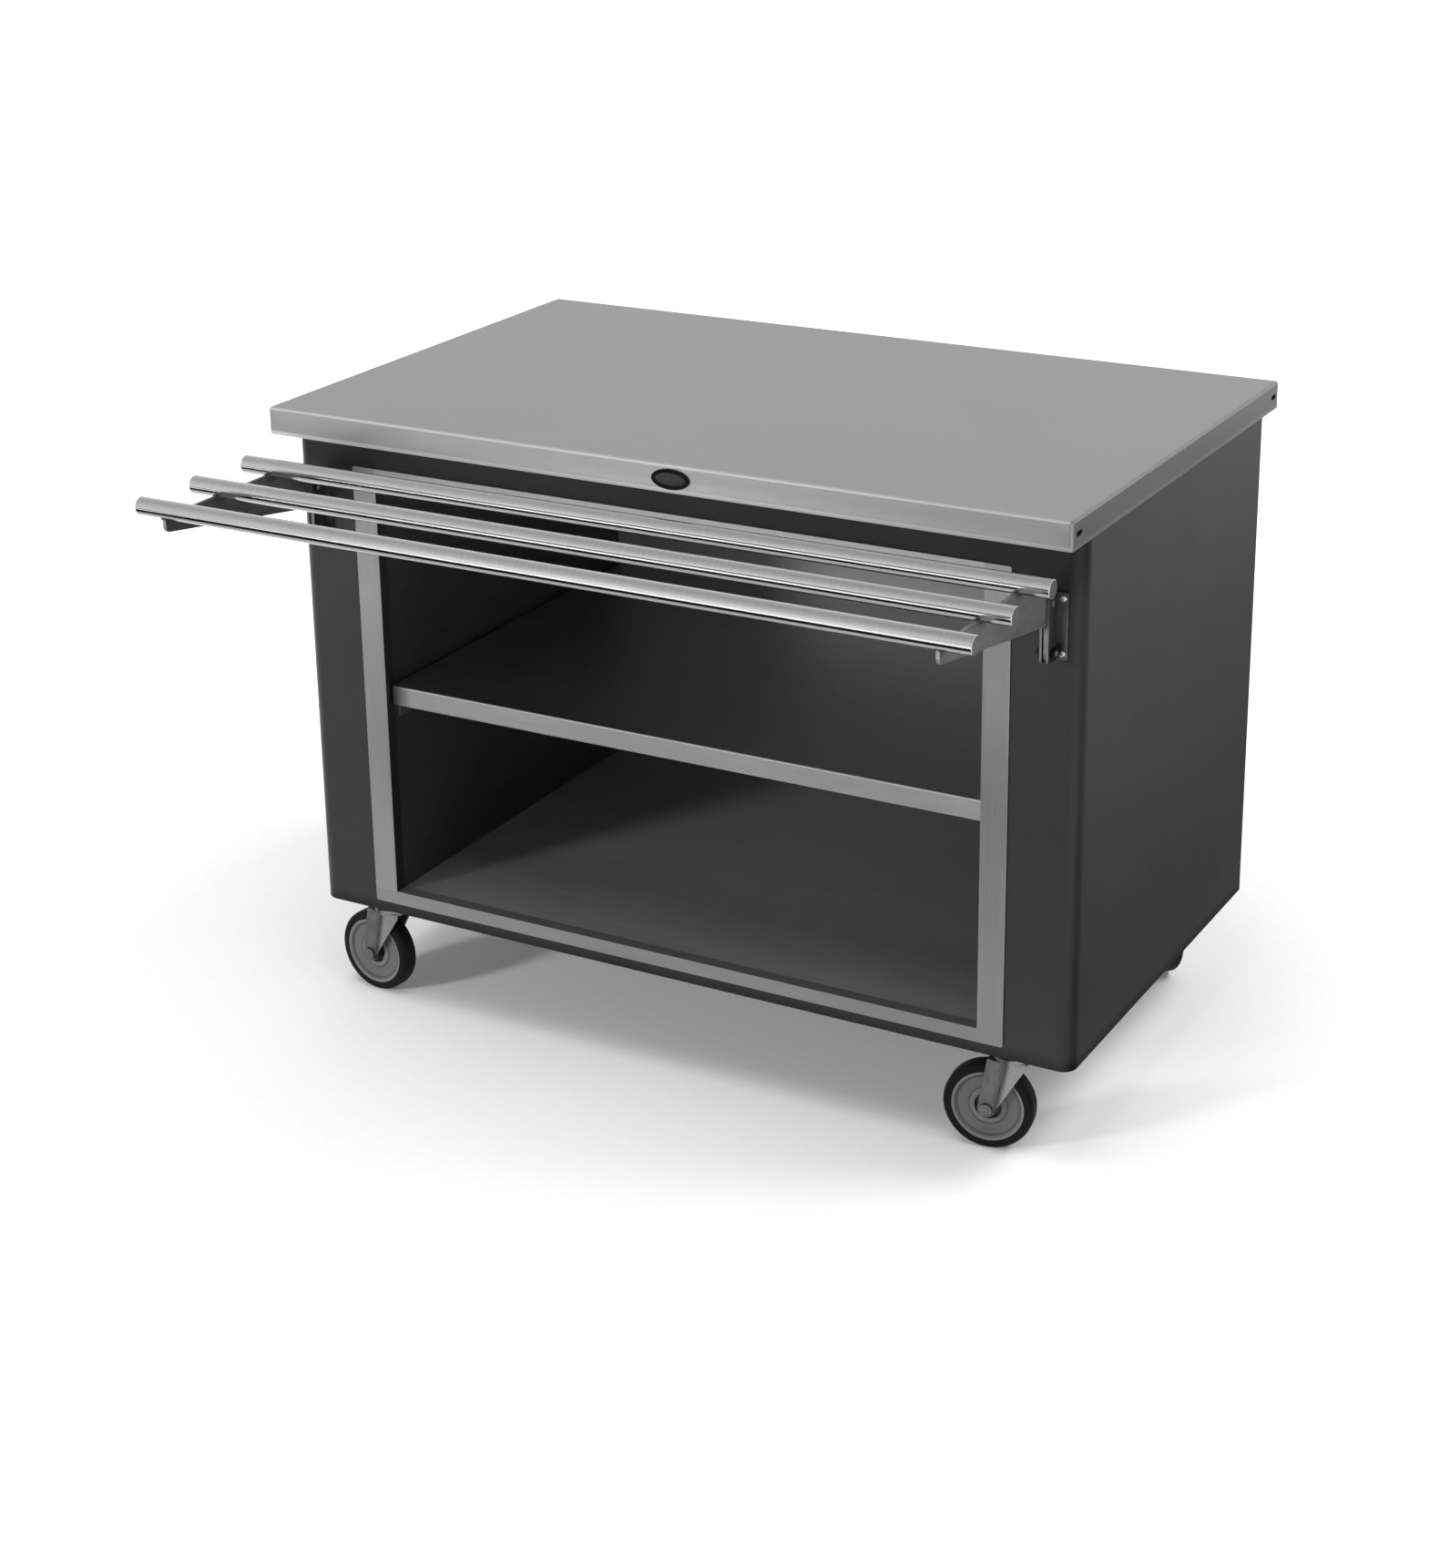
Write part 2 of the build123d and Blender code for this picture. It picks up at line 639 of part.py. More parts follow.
for place, (x, y) in caster_points.items():
    swivel = radians(caster_swivel[place])
    ahead = Vector(cos(swivel), sin(swivel), 0)
    axle_way = Vector(sin(swivel), -cos(swivel), 0)
    hub = Vector(x, y, wheel_radius) - ahead * caster_lead
    turned = Plane(origin=(x, y, 0), x_dir=ahead, z_dir=(0, 0, 1))
    upright = Plane(origin=hub, x_dir=axle_way, z_dir=-ahead)
    leg_face = Plane(origin=(x, y, 0), x_dir=ahead, z_dir=axle_way)
    axle_axis = Axis(hub, axle_way)

    # Top plate with the upper race pressed into it
    with BuildPart() as caster_plate:
        with BuildSketch(Plane.XY.offset(plate_bottom_z)):
            with Locations((x, y)):
                RectangleRounded(plate_length, plate_width, plate_corner)
        extrude(amount=plate_thickness)
        with BuildSketch(Plane.XY.offset(plate_bottom_z)):
            with Locations((x, y)):
                Circle(race_diameter / 2)
        extrude(amount=-race_height, taper=race_taper)
        with BuildSketch(Plane.XY.offset(race_bottom_z)):
            with Locations((x, y)):
                Circle(kingpin_diameter / 2 + kingpin_fit)
        extrude(amount=caster_height - race_bottom_z, mode=Mode.SUBTRACT)
        with BuildSketch(Plane.XY.offset(plate_bottom_z)):
            with Locations((x, y)):
                with GridLocations(bolt_pitch_long, bolt_pitch_short, 2, 2):
                    Circle(bolt_diameter / 2 + bolt_fit)
        extrude(amount=plate_thickness, mode=Mode.SUBTRACT)
    save(caster_plate, f"caster_plate_{place}")

    # Kingpin that holds the fork to the plate
    with BuildPart() as kingpin:
        with BuildSketch(Plane.XY.offset(kingpin_head_z)):
            with Locations((x, y)):
                Circle(kingpin_head_diameter / 2)
        extrude(amount=-kingpin_head_height)
        fillet(kingpin.faces().sort_by(Axis.Z)[0].edges(), kingpin_head_height / 2)
        with BuildSketch(Plane.XY.offset(kingpin_head_z)):
            with Locations((x, y)):
                Circle(kingpin_diameter / 2)
        extrude(amount=caster_height - kingpin_sink - kingpin_head_z)
    save(kingpin, f"kingpin_{place}")

    # Fork: a dished crown with two raked legs that taper to round ends at the axle, each with its
    # leading side bent inwards along a crease
    with BuildPart() as fork:
        with BuildSketch(turned.offset(fork_crown_z)):
            Circle(dish_diameter / 2)
            with Locations(((fork_front - fork_back) / 2, 0)):
                Rectangle(fork_front + fork_back, fork_gap + 2 * fork_gauge)
            make_hull()
        extrude(amount=fork_gauge)
        with BuildSketch(turned.offset(fork_top_z)):
            Circle(dish_diameter / 2)
        extrude(amount=dish_height, taper=dish_taper)
        with BuildSketch(turned.offset(fork_crown_z)):
            Circle(kingpin_diameter / 2 + kingpin_fit)
        extrude(amount=fork_gauge + dish_height, mode=Mode.SUBTRACT)
        for leg in (-1, 1):
            leg_plane = leg_face.offset(leg * (fork_gap + fork_gauge) / 2)
            with BuildSketch(leg_plane):
                with Locations((-caster_lead, wheel_radius)):
                    Circle(fork_boss_diameter / 2)
                with BuildLine():
                    Polyline((fork_crease, fork_top_z), (-fork_back, fork_top_z),
                             (-fork_back, fork_top_z - fork_shoulder), close=True)
                make_face()
                make_hull()
            extrude(amount=fork_gauge / 2, both=True)
            bent_ahead = crease_normal * cos(bend) - Vector(0, 0, leg) * sin(bend)
            bent_plane = Plane(origin=leg_plane.from_local_coords(crease_top),
                               x_dir=leg_plane.from_local_coords(crease_foot) - leg_plane.from_local_coords(crease_top),
                               z_dir=leg_plane.from_local_coords(crease_way.cross(bent_ahead)) - leg_plane.origin)
            with BuildSketch(bent_plane):
                with BuildLine():
                    Polyline((0, 0), (crease_length, 0), *flap_points, close=True)
                make_face()
            extrude(amount=fork_gauge / 2, both=True)
        with BuildSketch(leg_face):
            with Locations((-caster_lead, wheel_radius)):
                Circle(axle_diameter / 2 + axle_fit)
        extrude(amount=fork_gap, both=True, mode=Mode.SUBTRACT)
    save(fork, f"caster_fork_{place}")

    # Riveted axle through the fork and its fixed bush
    fork_half = fork_gap / 2 + fork_gauge
    with BuildPart() as axle:
        with BuildSketch(upright):
            with Locations((0, axle_diameter / 4)):
                Rectangle(2 * (fork_half + axle_head_height), axle_diameter / 2)
            with Locations((fork_half, 0), (-fork_half - axle_head_height, 0)):
                Rectangle(axle_head_height, axle_head_diameter / 2, align=(Align.MIN, Align.MIN))
        revolve(axis=axle_axis)
        heads = axle.faces().filter_by(GeomType.PLANE).sort_by(Axis(hub, axle_way))
        fillet(heads[0].edges() + heads[-1].edges(), axle_head_height / 2)
    save(axle, f"axle_{place}")

    with BuildPart() as bush:
        with BuildSketch(upright):
            with Locations((0, axle_diameter / 2 + axle_fit)):
                Rectangle(fork_gap, bush_diameter / 2 - axle_diameter / 2 - axle_fit,
                          align=(Align.CENTER, Align.MIN))
        revolve(axis=axle_axis)
    save(bush, f"axle_bush_{place}")

    # Wheel core: a rim that slopes in to a dished disc, a collar and a deep groove round the hub
    core_radius = tyre_inner_diameter / 2
    with BuildPart() as wheel_core:
        bore = bush_diameter / 2 + bush_fit
        hub_radius = core_hub_diameter / 2
        groove_radius = core_groove_diameter / 2
        collar_radius = groove_radius + core_collar
        rim_radius = core_radius - core_rim
        with BuildSketch(upright) as profile:
            with BuildLine():
                Polyline((0, bore), (core_hub_width / 2, bore), (core_hub_width / 2, hub_radius),
                         (core_groove_width / 2, hub_radius), (core_groove_width / 2, groove_radius),
                         (core_collar_width / 2, groove_radius), (core_collar_width / 2, collar_radius),
                         (core_disc_width / 2, collar_radius + core_collar_slope),
                         (core_disc_width / 2, rim_radius - core_rim_slope), (core_rim_width / 2, rim_radius),
                         (core_rim_width / 2, core_radius), (0, core_radius), close=True)
            make_face()
            faces_out = profile.vertices().group_by(Axis.X)
            fillet([faces_out[-1].sort_by(Axis.Y)[-1], faces_out[-2].sort_by(Axis.Y)[0]], core_round)
            mirror(about=Plane.YZ)
        revolve(axis=axle_axis)
    save(wheel_core, f"wheel_core_{place}")

    with BuildPart() as tyre:
        with BuildSketch(upright) as tread:
            with Locations((0, core_radius)):
                Rectangle(wheel_width, wheel_radius - core_radius, align=(Align.CENTER, Align.MIN))
            fillet(tread.vertices().group_by(Axis.Y)[-1], tyre_round)
        revolve(axis=axle_axis)
    save(tyre, f"tyre_{place}")
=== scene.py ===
import json
import math

import bmesh
import bpy
from mathutils import Matrix, Vector


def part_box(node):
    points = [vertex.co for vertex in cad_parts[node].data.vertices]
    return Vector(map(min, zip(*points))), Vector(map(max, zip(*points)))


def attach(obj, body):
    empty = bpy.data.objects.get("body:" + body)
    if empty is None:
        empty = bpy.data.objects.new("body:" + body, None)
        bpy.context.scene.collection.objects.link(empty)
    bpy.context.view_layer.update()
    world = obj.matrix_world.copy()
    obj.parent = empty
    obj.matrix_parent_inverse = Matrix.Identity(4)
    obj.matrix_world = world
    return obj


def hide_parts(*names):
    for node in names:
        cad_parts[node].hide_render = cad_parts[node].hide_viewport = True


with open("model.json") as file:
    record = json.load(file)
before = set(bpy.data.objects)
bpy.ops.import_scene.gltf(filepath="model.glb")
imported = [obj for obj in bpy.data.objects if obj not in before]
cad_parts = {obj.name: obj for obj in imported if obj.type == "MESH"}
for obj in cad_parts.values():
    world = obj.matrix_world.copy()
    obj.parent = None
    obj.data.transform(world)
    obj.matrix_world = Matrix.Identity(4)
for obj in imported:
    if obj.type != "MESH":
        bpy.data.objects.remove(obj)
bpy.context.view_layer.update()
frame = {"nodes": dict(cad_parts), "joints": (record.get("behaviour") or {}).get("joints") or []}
nodes = frame["nodes"]
joints = {joint["name"]: joint for joint in frame["joints"]}

MM = 0.001
CASTERS = ("front_left", "front_right", "rear_left", "rear_right")
SIDES = ("left", "right")
TUBES = ("tray_tube_inner", "tray_tube_middle", "tray_tube_outer")


def middle_of(node):
    """Middle of a node's box."""
    low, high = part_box(node)
    return (low + high) / 2


# Node helpers

class Nodes:
    """A node tree and short ways to add to it; a value is a number or a node's output."""

    def __init__(self, tree):
        self.tree = tree

    def node(self, kind, **values):
        made = self.tree.nodes.new(kind)
        for key, value in values.items():
            setattr(made, key, value)
        return made

    def link(self, out, into):
        self.tree.links.new(out, into)

    def feed(self, socket, value):
        """Sets a socket to a number, or links an output to it."""
        if isinstance(value, (int, float)):
            socket.default_value = value
        else:
            self.link(value, socket)

    def maths(self, operation, first, second=0.0):
        made = self.node("ShaderNodeMath", operation=operation)
        self.feed(made.inputs[0], first)
        self.feed(made.inputs[1], second)
        return made.outputs["Value"]

    def plus(self, first, *others):
        for other in others:
            first = self.maths("ADD", first, other)
        return first

    def minus(self, first, *others):
        for other in others:
            first = self.maths("SUBTRACT", first, other)
        return first

    def times(self, first, second):
        return self.maths("MULTIPLY", first, second)

    def larger(self, first, second):
        return self.maths("MAXIMUM", first, second)

    def size_of(self, value):
        """The value without its sign."""
        return self.maths("ABSOLUTE", value)

    def blend(self, share, first, second):
        """The first value where the share is 0, the second where it is 1."""
        made = self.node("ShaderNodeMix", data_type="FLOAT")
        for index, value in ((0, share), (2, first), (3, second)):
            self.feed(made.inputs[index], value)
        return made.outputs[0]

    def spread(self, value, low, high, start=0.25, end=0.75):
        """Low up to start, high from end on, even in between; most of a noise lies from 0.25 to 0.75."""
        made = self.node("ShaderNodeMapRange")
        self.feed(made.inputs["Value"], value)
        self.feed(made.inputs["From Min"], start)
        self.feed(made.inputs["From Max"], end)
        self.feed(made.inputs["To Min"], low)
        self.feed(made.inputs["To Max"], high)
        return made.outputs["Result"]

    def band(self, value, middle, reach):
        """1 at the middle, falling to 0 at the reach either side of it."""
        return self.spread(self.size_of(self.minus(value, middle)), 1.0, 0.0, 0.0, reach)

    def split(self, vector):
        """X, Y and Z of a vector."""
        made = self.node("ShaderNodeSeparateXYZ")
        self.link(vector, made.inputs["Vector"])
        return made.outputs["X"], made.outputs["Y"], made.outputs["Z"]

    def seen_directly(self):
        """1 for camera, glossy and transmission rays, 0 for the rest."""
        path = self.node("ShaderNodeLightPath")
        seen = path.outputs["Is Camera Ray"]
        for ray in ("Is Glossy Ray", "Is Transmission Ray"):
            seen = self.larger(seen, path.outputs[ray])
        return seen


def grey(value):
    return (value, value, value, 1.0)


class Finish(Nodes):
    """A material under construction; its patterns read Object coordinates, which are metres in the frame."""

    def __init__(self, name):
        self.material = bpy.data.materials.new(name)
        self.material.use_nodes = True
        super().__init__(self.material.node_tree)
        self.shader = self.tree.nodes["Principled BSDF"]

    def set(self, **values):
        """Sets sockets of the shader; an underscore stands for a space in a socket's name."""
        for key, value in values.items():
            self.shader.inputs[key.replace("_", " ")].default_value = value

    def vary(self, socket, value):
        """Links a value that varies over the surface to a socket of the shader."""
        self.link(value, self.shader.inputs[socket])

    def place(self, scale=(1, 1, 1), turn=(0, 0, 0), move=(0, 0, 0)):
        """The point on the surface, scaled, turned and then moved."""
        coords = self.node("ShaderNodeTexCoord")
        mapping = self.node("ShaderNodeMapping")
        mapping.inputs["Location"].default_value = move
        mapping.inputs["Rotation"].default_value = turn
        mapping.inputs["Scale"].default_value = scale
        self.link(coords.outputs["Object"], mapping.inputs["Vector"])
        return mapping.outputs["Vector"]

    def axes(self):
        """X, Y and Z of the point on the surface."""
        return self.split(self.place())

    def from_other(self, operation, point, way=(0, 0, 0)):
        """A vector node that works on the way from another point to the point on the surface."""
        made = self.node("ShaderNodeVectorMath", operation=operation)
        self.link(self.place(move=tuple(-Vector(point))), made.inputs[0])
        made.inputs[1].default_value = way
        return made

    def from_point(self, point):
        """Distance from a point."""
        return self.from_other("LENGTH", point).outputs["Value"]

    def from_axis(self, point, way):
        """Distance from a line through a point."""
        aside = self.from_other("CROSS_PRODUCT", point, way)
        reach = self.node("ShaderNodeVectorMath", operation="LENGTH")
        self.link(aside.outputs["Vector"], reach.inputs[0])
        return reach.outputs["Value"]

    def beyond(self, point, way):
        """Distance past a plane through a point, along its normal."""
        return self.from_other("DOT_PRODUCT", point, way).outputs["Value"]

    def noise(self, where, scale, detail=4.0, rough=0.55):
        made = self.node("ShaderNodeTexNoise")
        made.inputs["Scale"].default_value = scale
        made.inputs["Detail"].default_value = detail
        made.inputs["Roughness"].default_value = rough
        self.link(where, made.inputs["Vector"])
        return made.outputs["Fac"]

    def lines(self, grain):
        """Brushing lines; grain is their noise scale along X, Y and Z."""
        return self.noise(self.place(scale=grain), scale=1.0, detail=6.0, rough=0.65)

    def mottle(self, value, low=0.0, high=1.0):
        """A mix of noises, spread from the middle of its range so that its contrast shows."""
        return self.spread(value, low, high, start=0.3, end=0.7)

    def tint(self, value, dark, light):
        """Base colour between two greys, driven by a 0 to 1 value."""
        made = self.node("ShaderNodeMix", data_type="RGBA")
        self.link(value, made.inputs["Factor"])
        made.inputs[6].default_value = grey(dark)
        made.inputs[7].default_value = grey(light)
        self.vary("Base Color", made.outputs[2])

    def rough(self, value, low, high):
        """Roughness between two levels, driven by a noise."""
        self.vary("Roughness", self.spread(value, low, high))

    def bump(self, height, depth, strength):
        made = self.node("ShaderNodeBump")
        made.inputs["Strength"].default_value = strength
        made.inputs["Distance"].default_value = depth
        self.link(height, made.inputs["Height"])
        self.vary("Normal", made.outputs["Normal"])

    def brush(self, lines):
        """The fine relief of brushing lines."""
        self.bump(lines, depth=0.03 * MM, strength=0.35)


class BrushedSteel(Finish):
    """Satin steel with fine lines along one axis and soft clouds; both make the shade that is tinted."""

    def __init__(self, name, grain, shade, rough, cloud_scale=3.2, cloud_detail=3.0):
        super().__init__(name)
        lines = self.lines(grain)
        self.clouds = self.noise(self.place(), scale=cloud_scale, detail=cloud_detail)
        self.shade = self.mottle(self.blend(0.35, lines, self.clouds), *shade)
        self.rough(self.blend(0.5, lines, self.clouds), *rough)
        self.brush(lines)
        self.set(Metallic=1.0)


# Steel finishes

# Depth behind a face over which a mark on that face alone fades out, and the same for a painted edge
# highlight
FACE_DEPTH = (0.5 * MM, 3.0 * MM)
EDGE_DEPTH = (1.2 * MM, 2.4 * MM)
# Width of the trim frame's stiles, the fade either side of a stile's inner edge, and a height that takes in
# the whole bottom rail
STILE_WIDTH = 38 * MM
STILE_FADE = 10 * MM
RAIL_REACH = 21 * MM
# Crease of a caster's fork: its top, ahead of the kingpin and above the floor, and its normal, ahead and up
CREASE_AHEAD = -4.0 * MM
CREASE_HEIGHT = 140.5 * MM
CREASE_NORMAL = (0.979, -0.206)


def plain_steel(name, grain, rough, dark, light):
    """Satin steel with no marks of its own."""
    finish = BrushedSteel(name, grain, (0.0, 1.0), rough)
    finish.tint(finish.shade, dark, light)
    return finish.material


def worktop_steel():
    """Satin worktop with lines along it, with a painted highlight on the long edges' bends and on the hem,
    strongest on the front; painted light brightens the middle and the upper half of its front, and painted
    shade darkens its ends and right corners."""
    finish = BrushedSteel("worktop_satin_steel", grain=(5, 700, 700), shade=(0.09, 0.23), rough=(0.34, 0.46))
    low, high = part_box("worktop")
    painted_light_middle = 0.05
    painted_light_reach = 0.70
    left_end = (-0.60, -0.35)
    x, y, z = finish.axes()
    from_front = finish.minus(y, low.y)
    from_side = finish.maths("MINIMUM", from_front, finish.minus(high.y, y))
    from_end = finish.minus(high.x, finish.size_of(x))
    from_right = finish.minus(high.x, x)
    below_top = finish.minus(high.z, z)
    on_front = finish.spread(from_front, 1.0, 0.0, *FACE_DEPTH)
    # painted shade darkens the ends and the right corners
    on_end = finish.spread(from_end, 0.09, 0.0, *FACE_DEPTH)
    corner = finish.spread(finish.plus(from_side, from_right), 0.6, 0.0, 3.6 * MM, 5.6 * MM)
    # painted highlight on the long edges' bends and on the hem, strongest on the front
    bend = finish.spread(finish.plus(from_side, below_top), 1.0, 0.0, 2.6 * MM, 3.7 * MM)
    hem = finish.spread(finish.minus(z, low.z), 1.0, 0.0, 4.5 * MM, 6.5 * MM)
    hem = finish.times(hem, finish.blend(on_front, 0.2, 0.75))
    # painted light on the front: its upper part, weaker towards the left end, and its middle
    upper = finish.spread(below_top, 1.0, 0.0, 8 * MM, 26 * MM)
    upper = finish.times(upper, finish.spread(x, 0.04, 0.27, *left_end))
    middle = finish.times(finish.band(x, painted_light_middle, painted_light_reach), 0.40)
    painted_front_light = finish.times(on_front, finish.plus(middle, upper))
    patches = finish.spread(finish.clouds, 0.55, 0.77)
    bright = finish.larger(painted_front_light, finish.times(bend, patches))
    shade = finish.plus(finish.shade, bright, finish.times(hem, patches))
    finish.tint(finish.minus(shade, on_end, corner), dark=0.24, light=0.78)
    return finish.material


def back_steel():
    """Back wall: dull and matt above the shelf, where light reaches it, and satin below; painted light makes
    its colour paler above the shelf.
    """
    finish = BrushedSteel("back_satin_steel", grain=(6, 500, 500), shade=(0.0, 0.4), rough=(0.40, 0.52))
    shelf_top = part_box("mid_shelf")[1].z
    height = finish.axes()[2]
    above = finish.spread(height, 0.0, 1.0, shelf_top - 12 * MM, shelf_top)
    # painted light: the colour is paler above the shelf, where the lamp's light falls
    finish.tint(finish.plus(finish.shade, finish.times(above, 0.9)), dark=0.24, light=0.44)
    finish.vary("Metallic", finish.blend(above, 1.0, 0.25))
    return finish.material


def shelf_steel():
    """Satin shelf with lines along it; a painted shadow of the left stile darkens its lip at the left end."""
    finish = BrushedSteel("shelf_satin_steel", grain=(6, 700, 700), shade=(0.745, 1.0), rough=(0.34, 0.46))
    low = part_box("mid_shelf")[0]
    x, y = finish.axes()[:2]
    on_lip = finish.spread(finish.minus(y, low.y), 1.0, 0.0, *FACE_DEPTH)
    # painted shadow of the left stile on the left end of the lip
    left_end = finish.spread(finish.minus(x, low.x), 0.76, 0.0, 8 * MM, 34 * MM)
    finish.tint(finish.minus(finish.shade, finish.times(on_lip, left_end)), dark=0.07, light=0.54)
    return finish.material


def deck_steel():
    """Dull deck with lines along it, darker towards the front with painted shade."""
    finish = BrushedSteel("deck_dull_steel", grain=(6, 300, 300), shade=(0.0, 0.4), rough=(0.52, 0.64))
    from_front = finish.minus(finish.axes()[1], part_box("bottom_deck")[0].y)
    # painted shade: the deck is darker towards the front
    painted_shade_to_front = finish.spread(from_front, 0.0, 0.6, 35 * MM, 275 * MM)
    finish.tint(finish.plus(finish.shade, painted_shade_to_front), dark=0.125, light=0.30)
    finish.set(Metallic=0.3)
    return finish.material


def trim_steel():
    """Frame round the opening, with lines down the stiles and along the rails; painted shade darkens
    its returned inner edge, which is matt along the sill. Painted light brightens the left stile, and
    painted shade darkens the bottom rail, the right stile's foot and both stiles beside the tray slide."""
    finish = Finish("trim_satin_steel")
    low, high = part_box("trim_frame")
    opening = high.x - STILE_WIDTH
    left_stile = (-opening - STILE_FADE, -opening + STILE_FADE)
    right_stile = (opening - STILE_FADE, opening + STILE_FADE)
    rail_shade_stretch = (0.15, 0.42)
    light_height = 0.52
    light_reach = 0.36
    foot_heights = (0.20, 0.45)
    slide_heights = (0.66, 0.74)
    x, y, z = finish.axes()
    on_stile = finish.maths("GREATER_THAN", finish.size_of(x), opening)
    on_rail = finish.maths("LESS_THAN", z, low.z + RAIL_REACH)
    returned = finish.maths("GREATER_THAN", y, low.y + 0.8 * MM)
    lines = finish.blend(on_stile, finish.lines((7, 900, 900)), finish.lines((900, 900, 7)))
    clouds = finish.noise(finish.place(), scale=4.0, detail=2.0)
    # painted light on the left stile; painted shade on the right foot, the bottom rail and beside the slide
    on_left = finish.spread(x, 0.143, 0.0, *left_stile)
    on_right = finish.spread(x, 0.0, 0.103, *right_stile)
    painted_left_light = finish.times(on_left, finish.band(z, light_height, light_reach))
    painted_lighting = finish.times(on_right, finish.spread(z, 1.0, 0.0, *foot_heights))
    painted_foot_shade = finish.times(on_rail, finish.spread(x, 0.05, 0.12, *rail_shade_stretch))
    painted_shadow = finish.times(on_stile, finish.spread(z, 0.0, 0.087, *slide_heights))
    shade = finish.plus(finish.mottle(finish.blend(0.3, lines, clouds), 0.325, 0.452), painted_left_light)
    # painted shade also darkens the returned inner edge
    shade = finish.minus(shade, finish.larger(painted_foot_shade, painted_lighting), painted_shadow, finish.times(returned, 0.35))
    finish.tint(shade, dark=0.07, light=0.80)
    finish.rough(lines, 0.30, 0.44)
    finish.brush(lines)
    finish.vary("Metallic", finish.blend(finish.times(returned, on_rail), 1.0, 0.1))
    return finish.material


def tube_steel():
    """Polished tube with faint turning lines round it."""
    finish = Finish("tube_polished_steel")
    rings = finish.noise(finish.place(scale=(420, 3, 3)), scale=1.0, detail=5.0, rough=0.7)
    clouds = finish.noise(finish.place(scale=(2, 14, 14)), scale=1.0)
    polish = finish.blend(0.4, rings, clouds)
    finish.tint(finish.mottle(polish), dark=0.46, light=0.54)
    finish.rough(polish, 0.09, 0.17)
    finish.bump(rings, depth=0.02 * MM, strength=0.3)
    finish.set(Metallic=1.0)
    return finish.material


def arm_steel():
    """Satin plate of the tray arms, with painted shade round each tube where it sits on the plate and a
    painted highlight on its nose."""
    finish = BrushedSteel("arm_plate_steel", grain=(400, 8, 400), shade=(0.20, 0.55), rough=(0.36, 0.48),
                          cloud_scale=9.0, cloud_detail=4.0)
    # painted shade round each tube where it sits on the plate
    tube_shade = 0.0
    for tube in TUBES:
        from_tube = finish.from_axis(middle_of(tube), (1, 0, 0))
        tube_shade = finish.larger(tube_shade, finish.spread(from_tube, 1.0, 0.0, 13.5 * MM, 24 * MM))
    painted_tube_shade = finish.times(tube_shade, finish.spread(finish.clouds, 0.14, 0.36))
    # painted highlight on the nose
    from_tip = finish.minus(finish.axes()[1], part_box("tray_arm_right")[0].y)
    nose = finish.spread(from_tip, 0.35, 0.0, 0.8 * MM, 2.0 * MM)
    finish.tint(finish.plus(finish.minus(finish.shade, painted_tube_shade), nose), dark=0.09, light=0.54)
    return finish.material


def bracket_steel(side):
    """Dull plate of a wall bracket, with a painted highlight on the plate's outer edge and, below the arm,
    on the ears' front edges."""
    finish = Finish(f"bracket_plate_steel_{side}")
    low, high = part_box(f"tray_bracket_{side}")
    lines = finish.lines((400, 400, 8))
    clouds = finish.noise(finish.place(), scale=40.0)
    x, y, z = finish.axes()
    from_middle = finish.minus(z, (low.z + high.z) / 2)
    from_outside = finish.minus(max(abs(low.x), abs(high.x)), finish.size_of(x))
    # painted highlight on the ears' front edges below the arm and on the plate's outer edge
    below_arm = finish.spread(from_middle, 1.0, 0.35, -4 * MM, 4 * MM)
    ear_edge = finish.times(finish.spread(finish.minus(y, low.y), 0.85, 0.0, *EDGE_DEPTH), below_arm)
    plate_edge = finish.spread(from_outside, 0.35, 0.0, *EDGE_DEPTH)
    painted_lighting = finish.times(finish.larger(ear_edge, plate_edge), finish.spread(clouds, 0.7, 1.0))
    shade = finish.mottle(finish.blend(0.4, lines, clouds), 0.0, 0.30)
    finish.tint(finish.plus(shade, painted_lighting), dark=0.07, light=0.25)
    finish.rough(clouds, 0.34, 0.46)
    finish.brush(lines)
    finish.set(Metallic=1.0)
    return finish.material


def weld_steel():
    """Bead of a fillet weld: rippled, dull and dark with scale."""
    finish = Finish("weld_scaled_steel")
    ripples = finish.noise(finish.place(), scale=620.0, detail=3.0, rough=0.6)
    scale = finish.noise(finish.place(), scale=140.0)
    finish.tint(finish.mottle(finish.blend(0.5, ripples, scale)), dark=0.05, light=0.22)
    finish.rough(scale, 0.42, 0.62)
    finish.bump(ripples, depth=0.3 * MM, strength=0.6)
    finish.set(Metallic=1.0)
    return finish.material


def pivot_black():
    """Black oxide on the pivot bolts and nuts, paler at the middle of each head."""
    finish = Finish("pivot_black_oxide")
    patches = finish.noise(finish.place(), scale=260.0)
    fold = joints["tray_fold"]
    # paler at the middle of each head
    paler_middle = finish.spread(finish.from_axis(fold["pos_m"], fold["axis"]), 1.0, 0.0, 2.6 * MM, 4.0 * MM)
    finish.tint(finish.times(paler_middle, finish.spread(patches, 0.55, 1.0)), dark=0.02, light=0.42)
    finish.rough(patches, 0.32, 0.46)
    finish.bump(patches, depth=0.05 * MM, strength=0.25)
    finish.set(Metallic=1.0)
    return finish.material


def zinc(name, rough, dark, light):
    """Plated steel with a faint spangle and dull patches."""
    finish = Finish(name)
    cells = finish.node("ShaderNodeTexVoronoi")
    cells.inputs["Scale"].default_value = 240.0
    finish.link(finish.place(), cells.inputs["Vector"])
    patches = finish.noise(finish.place(), scale=45.0, detail=5.0, rough=0.6)
    spangle = finish.blend(0.3, patches, cells.outputs["Distance"])
    finish.tint(finish.spread(spangle, 0.0, 1.0, start=0.25, end=0.65), dark, light)
    finish.rough(patches, *rough)
    finish.bump(patches, depth=0.05 * MM, strength=0.25)
    finish.set(Metallic=1.0)
    return finish.material


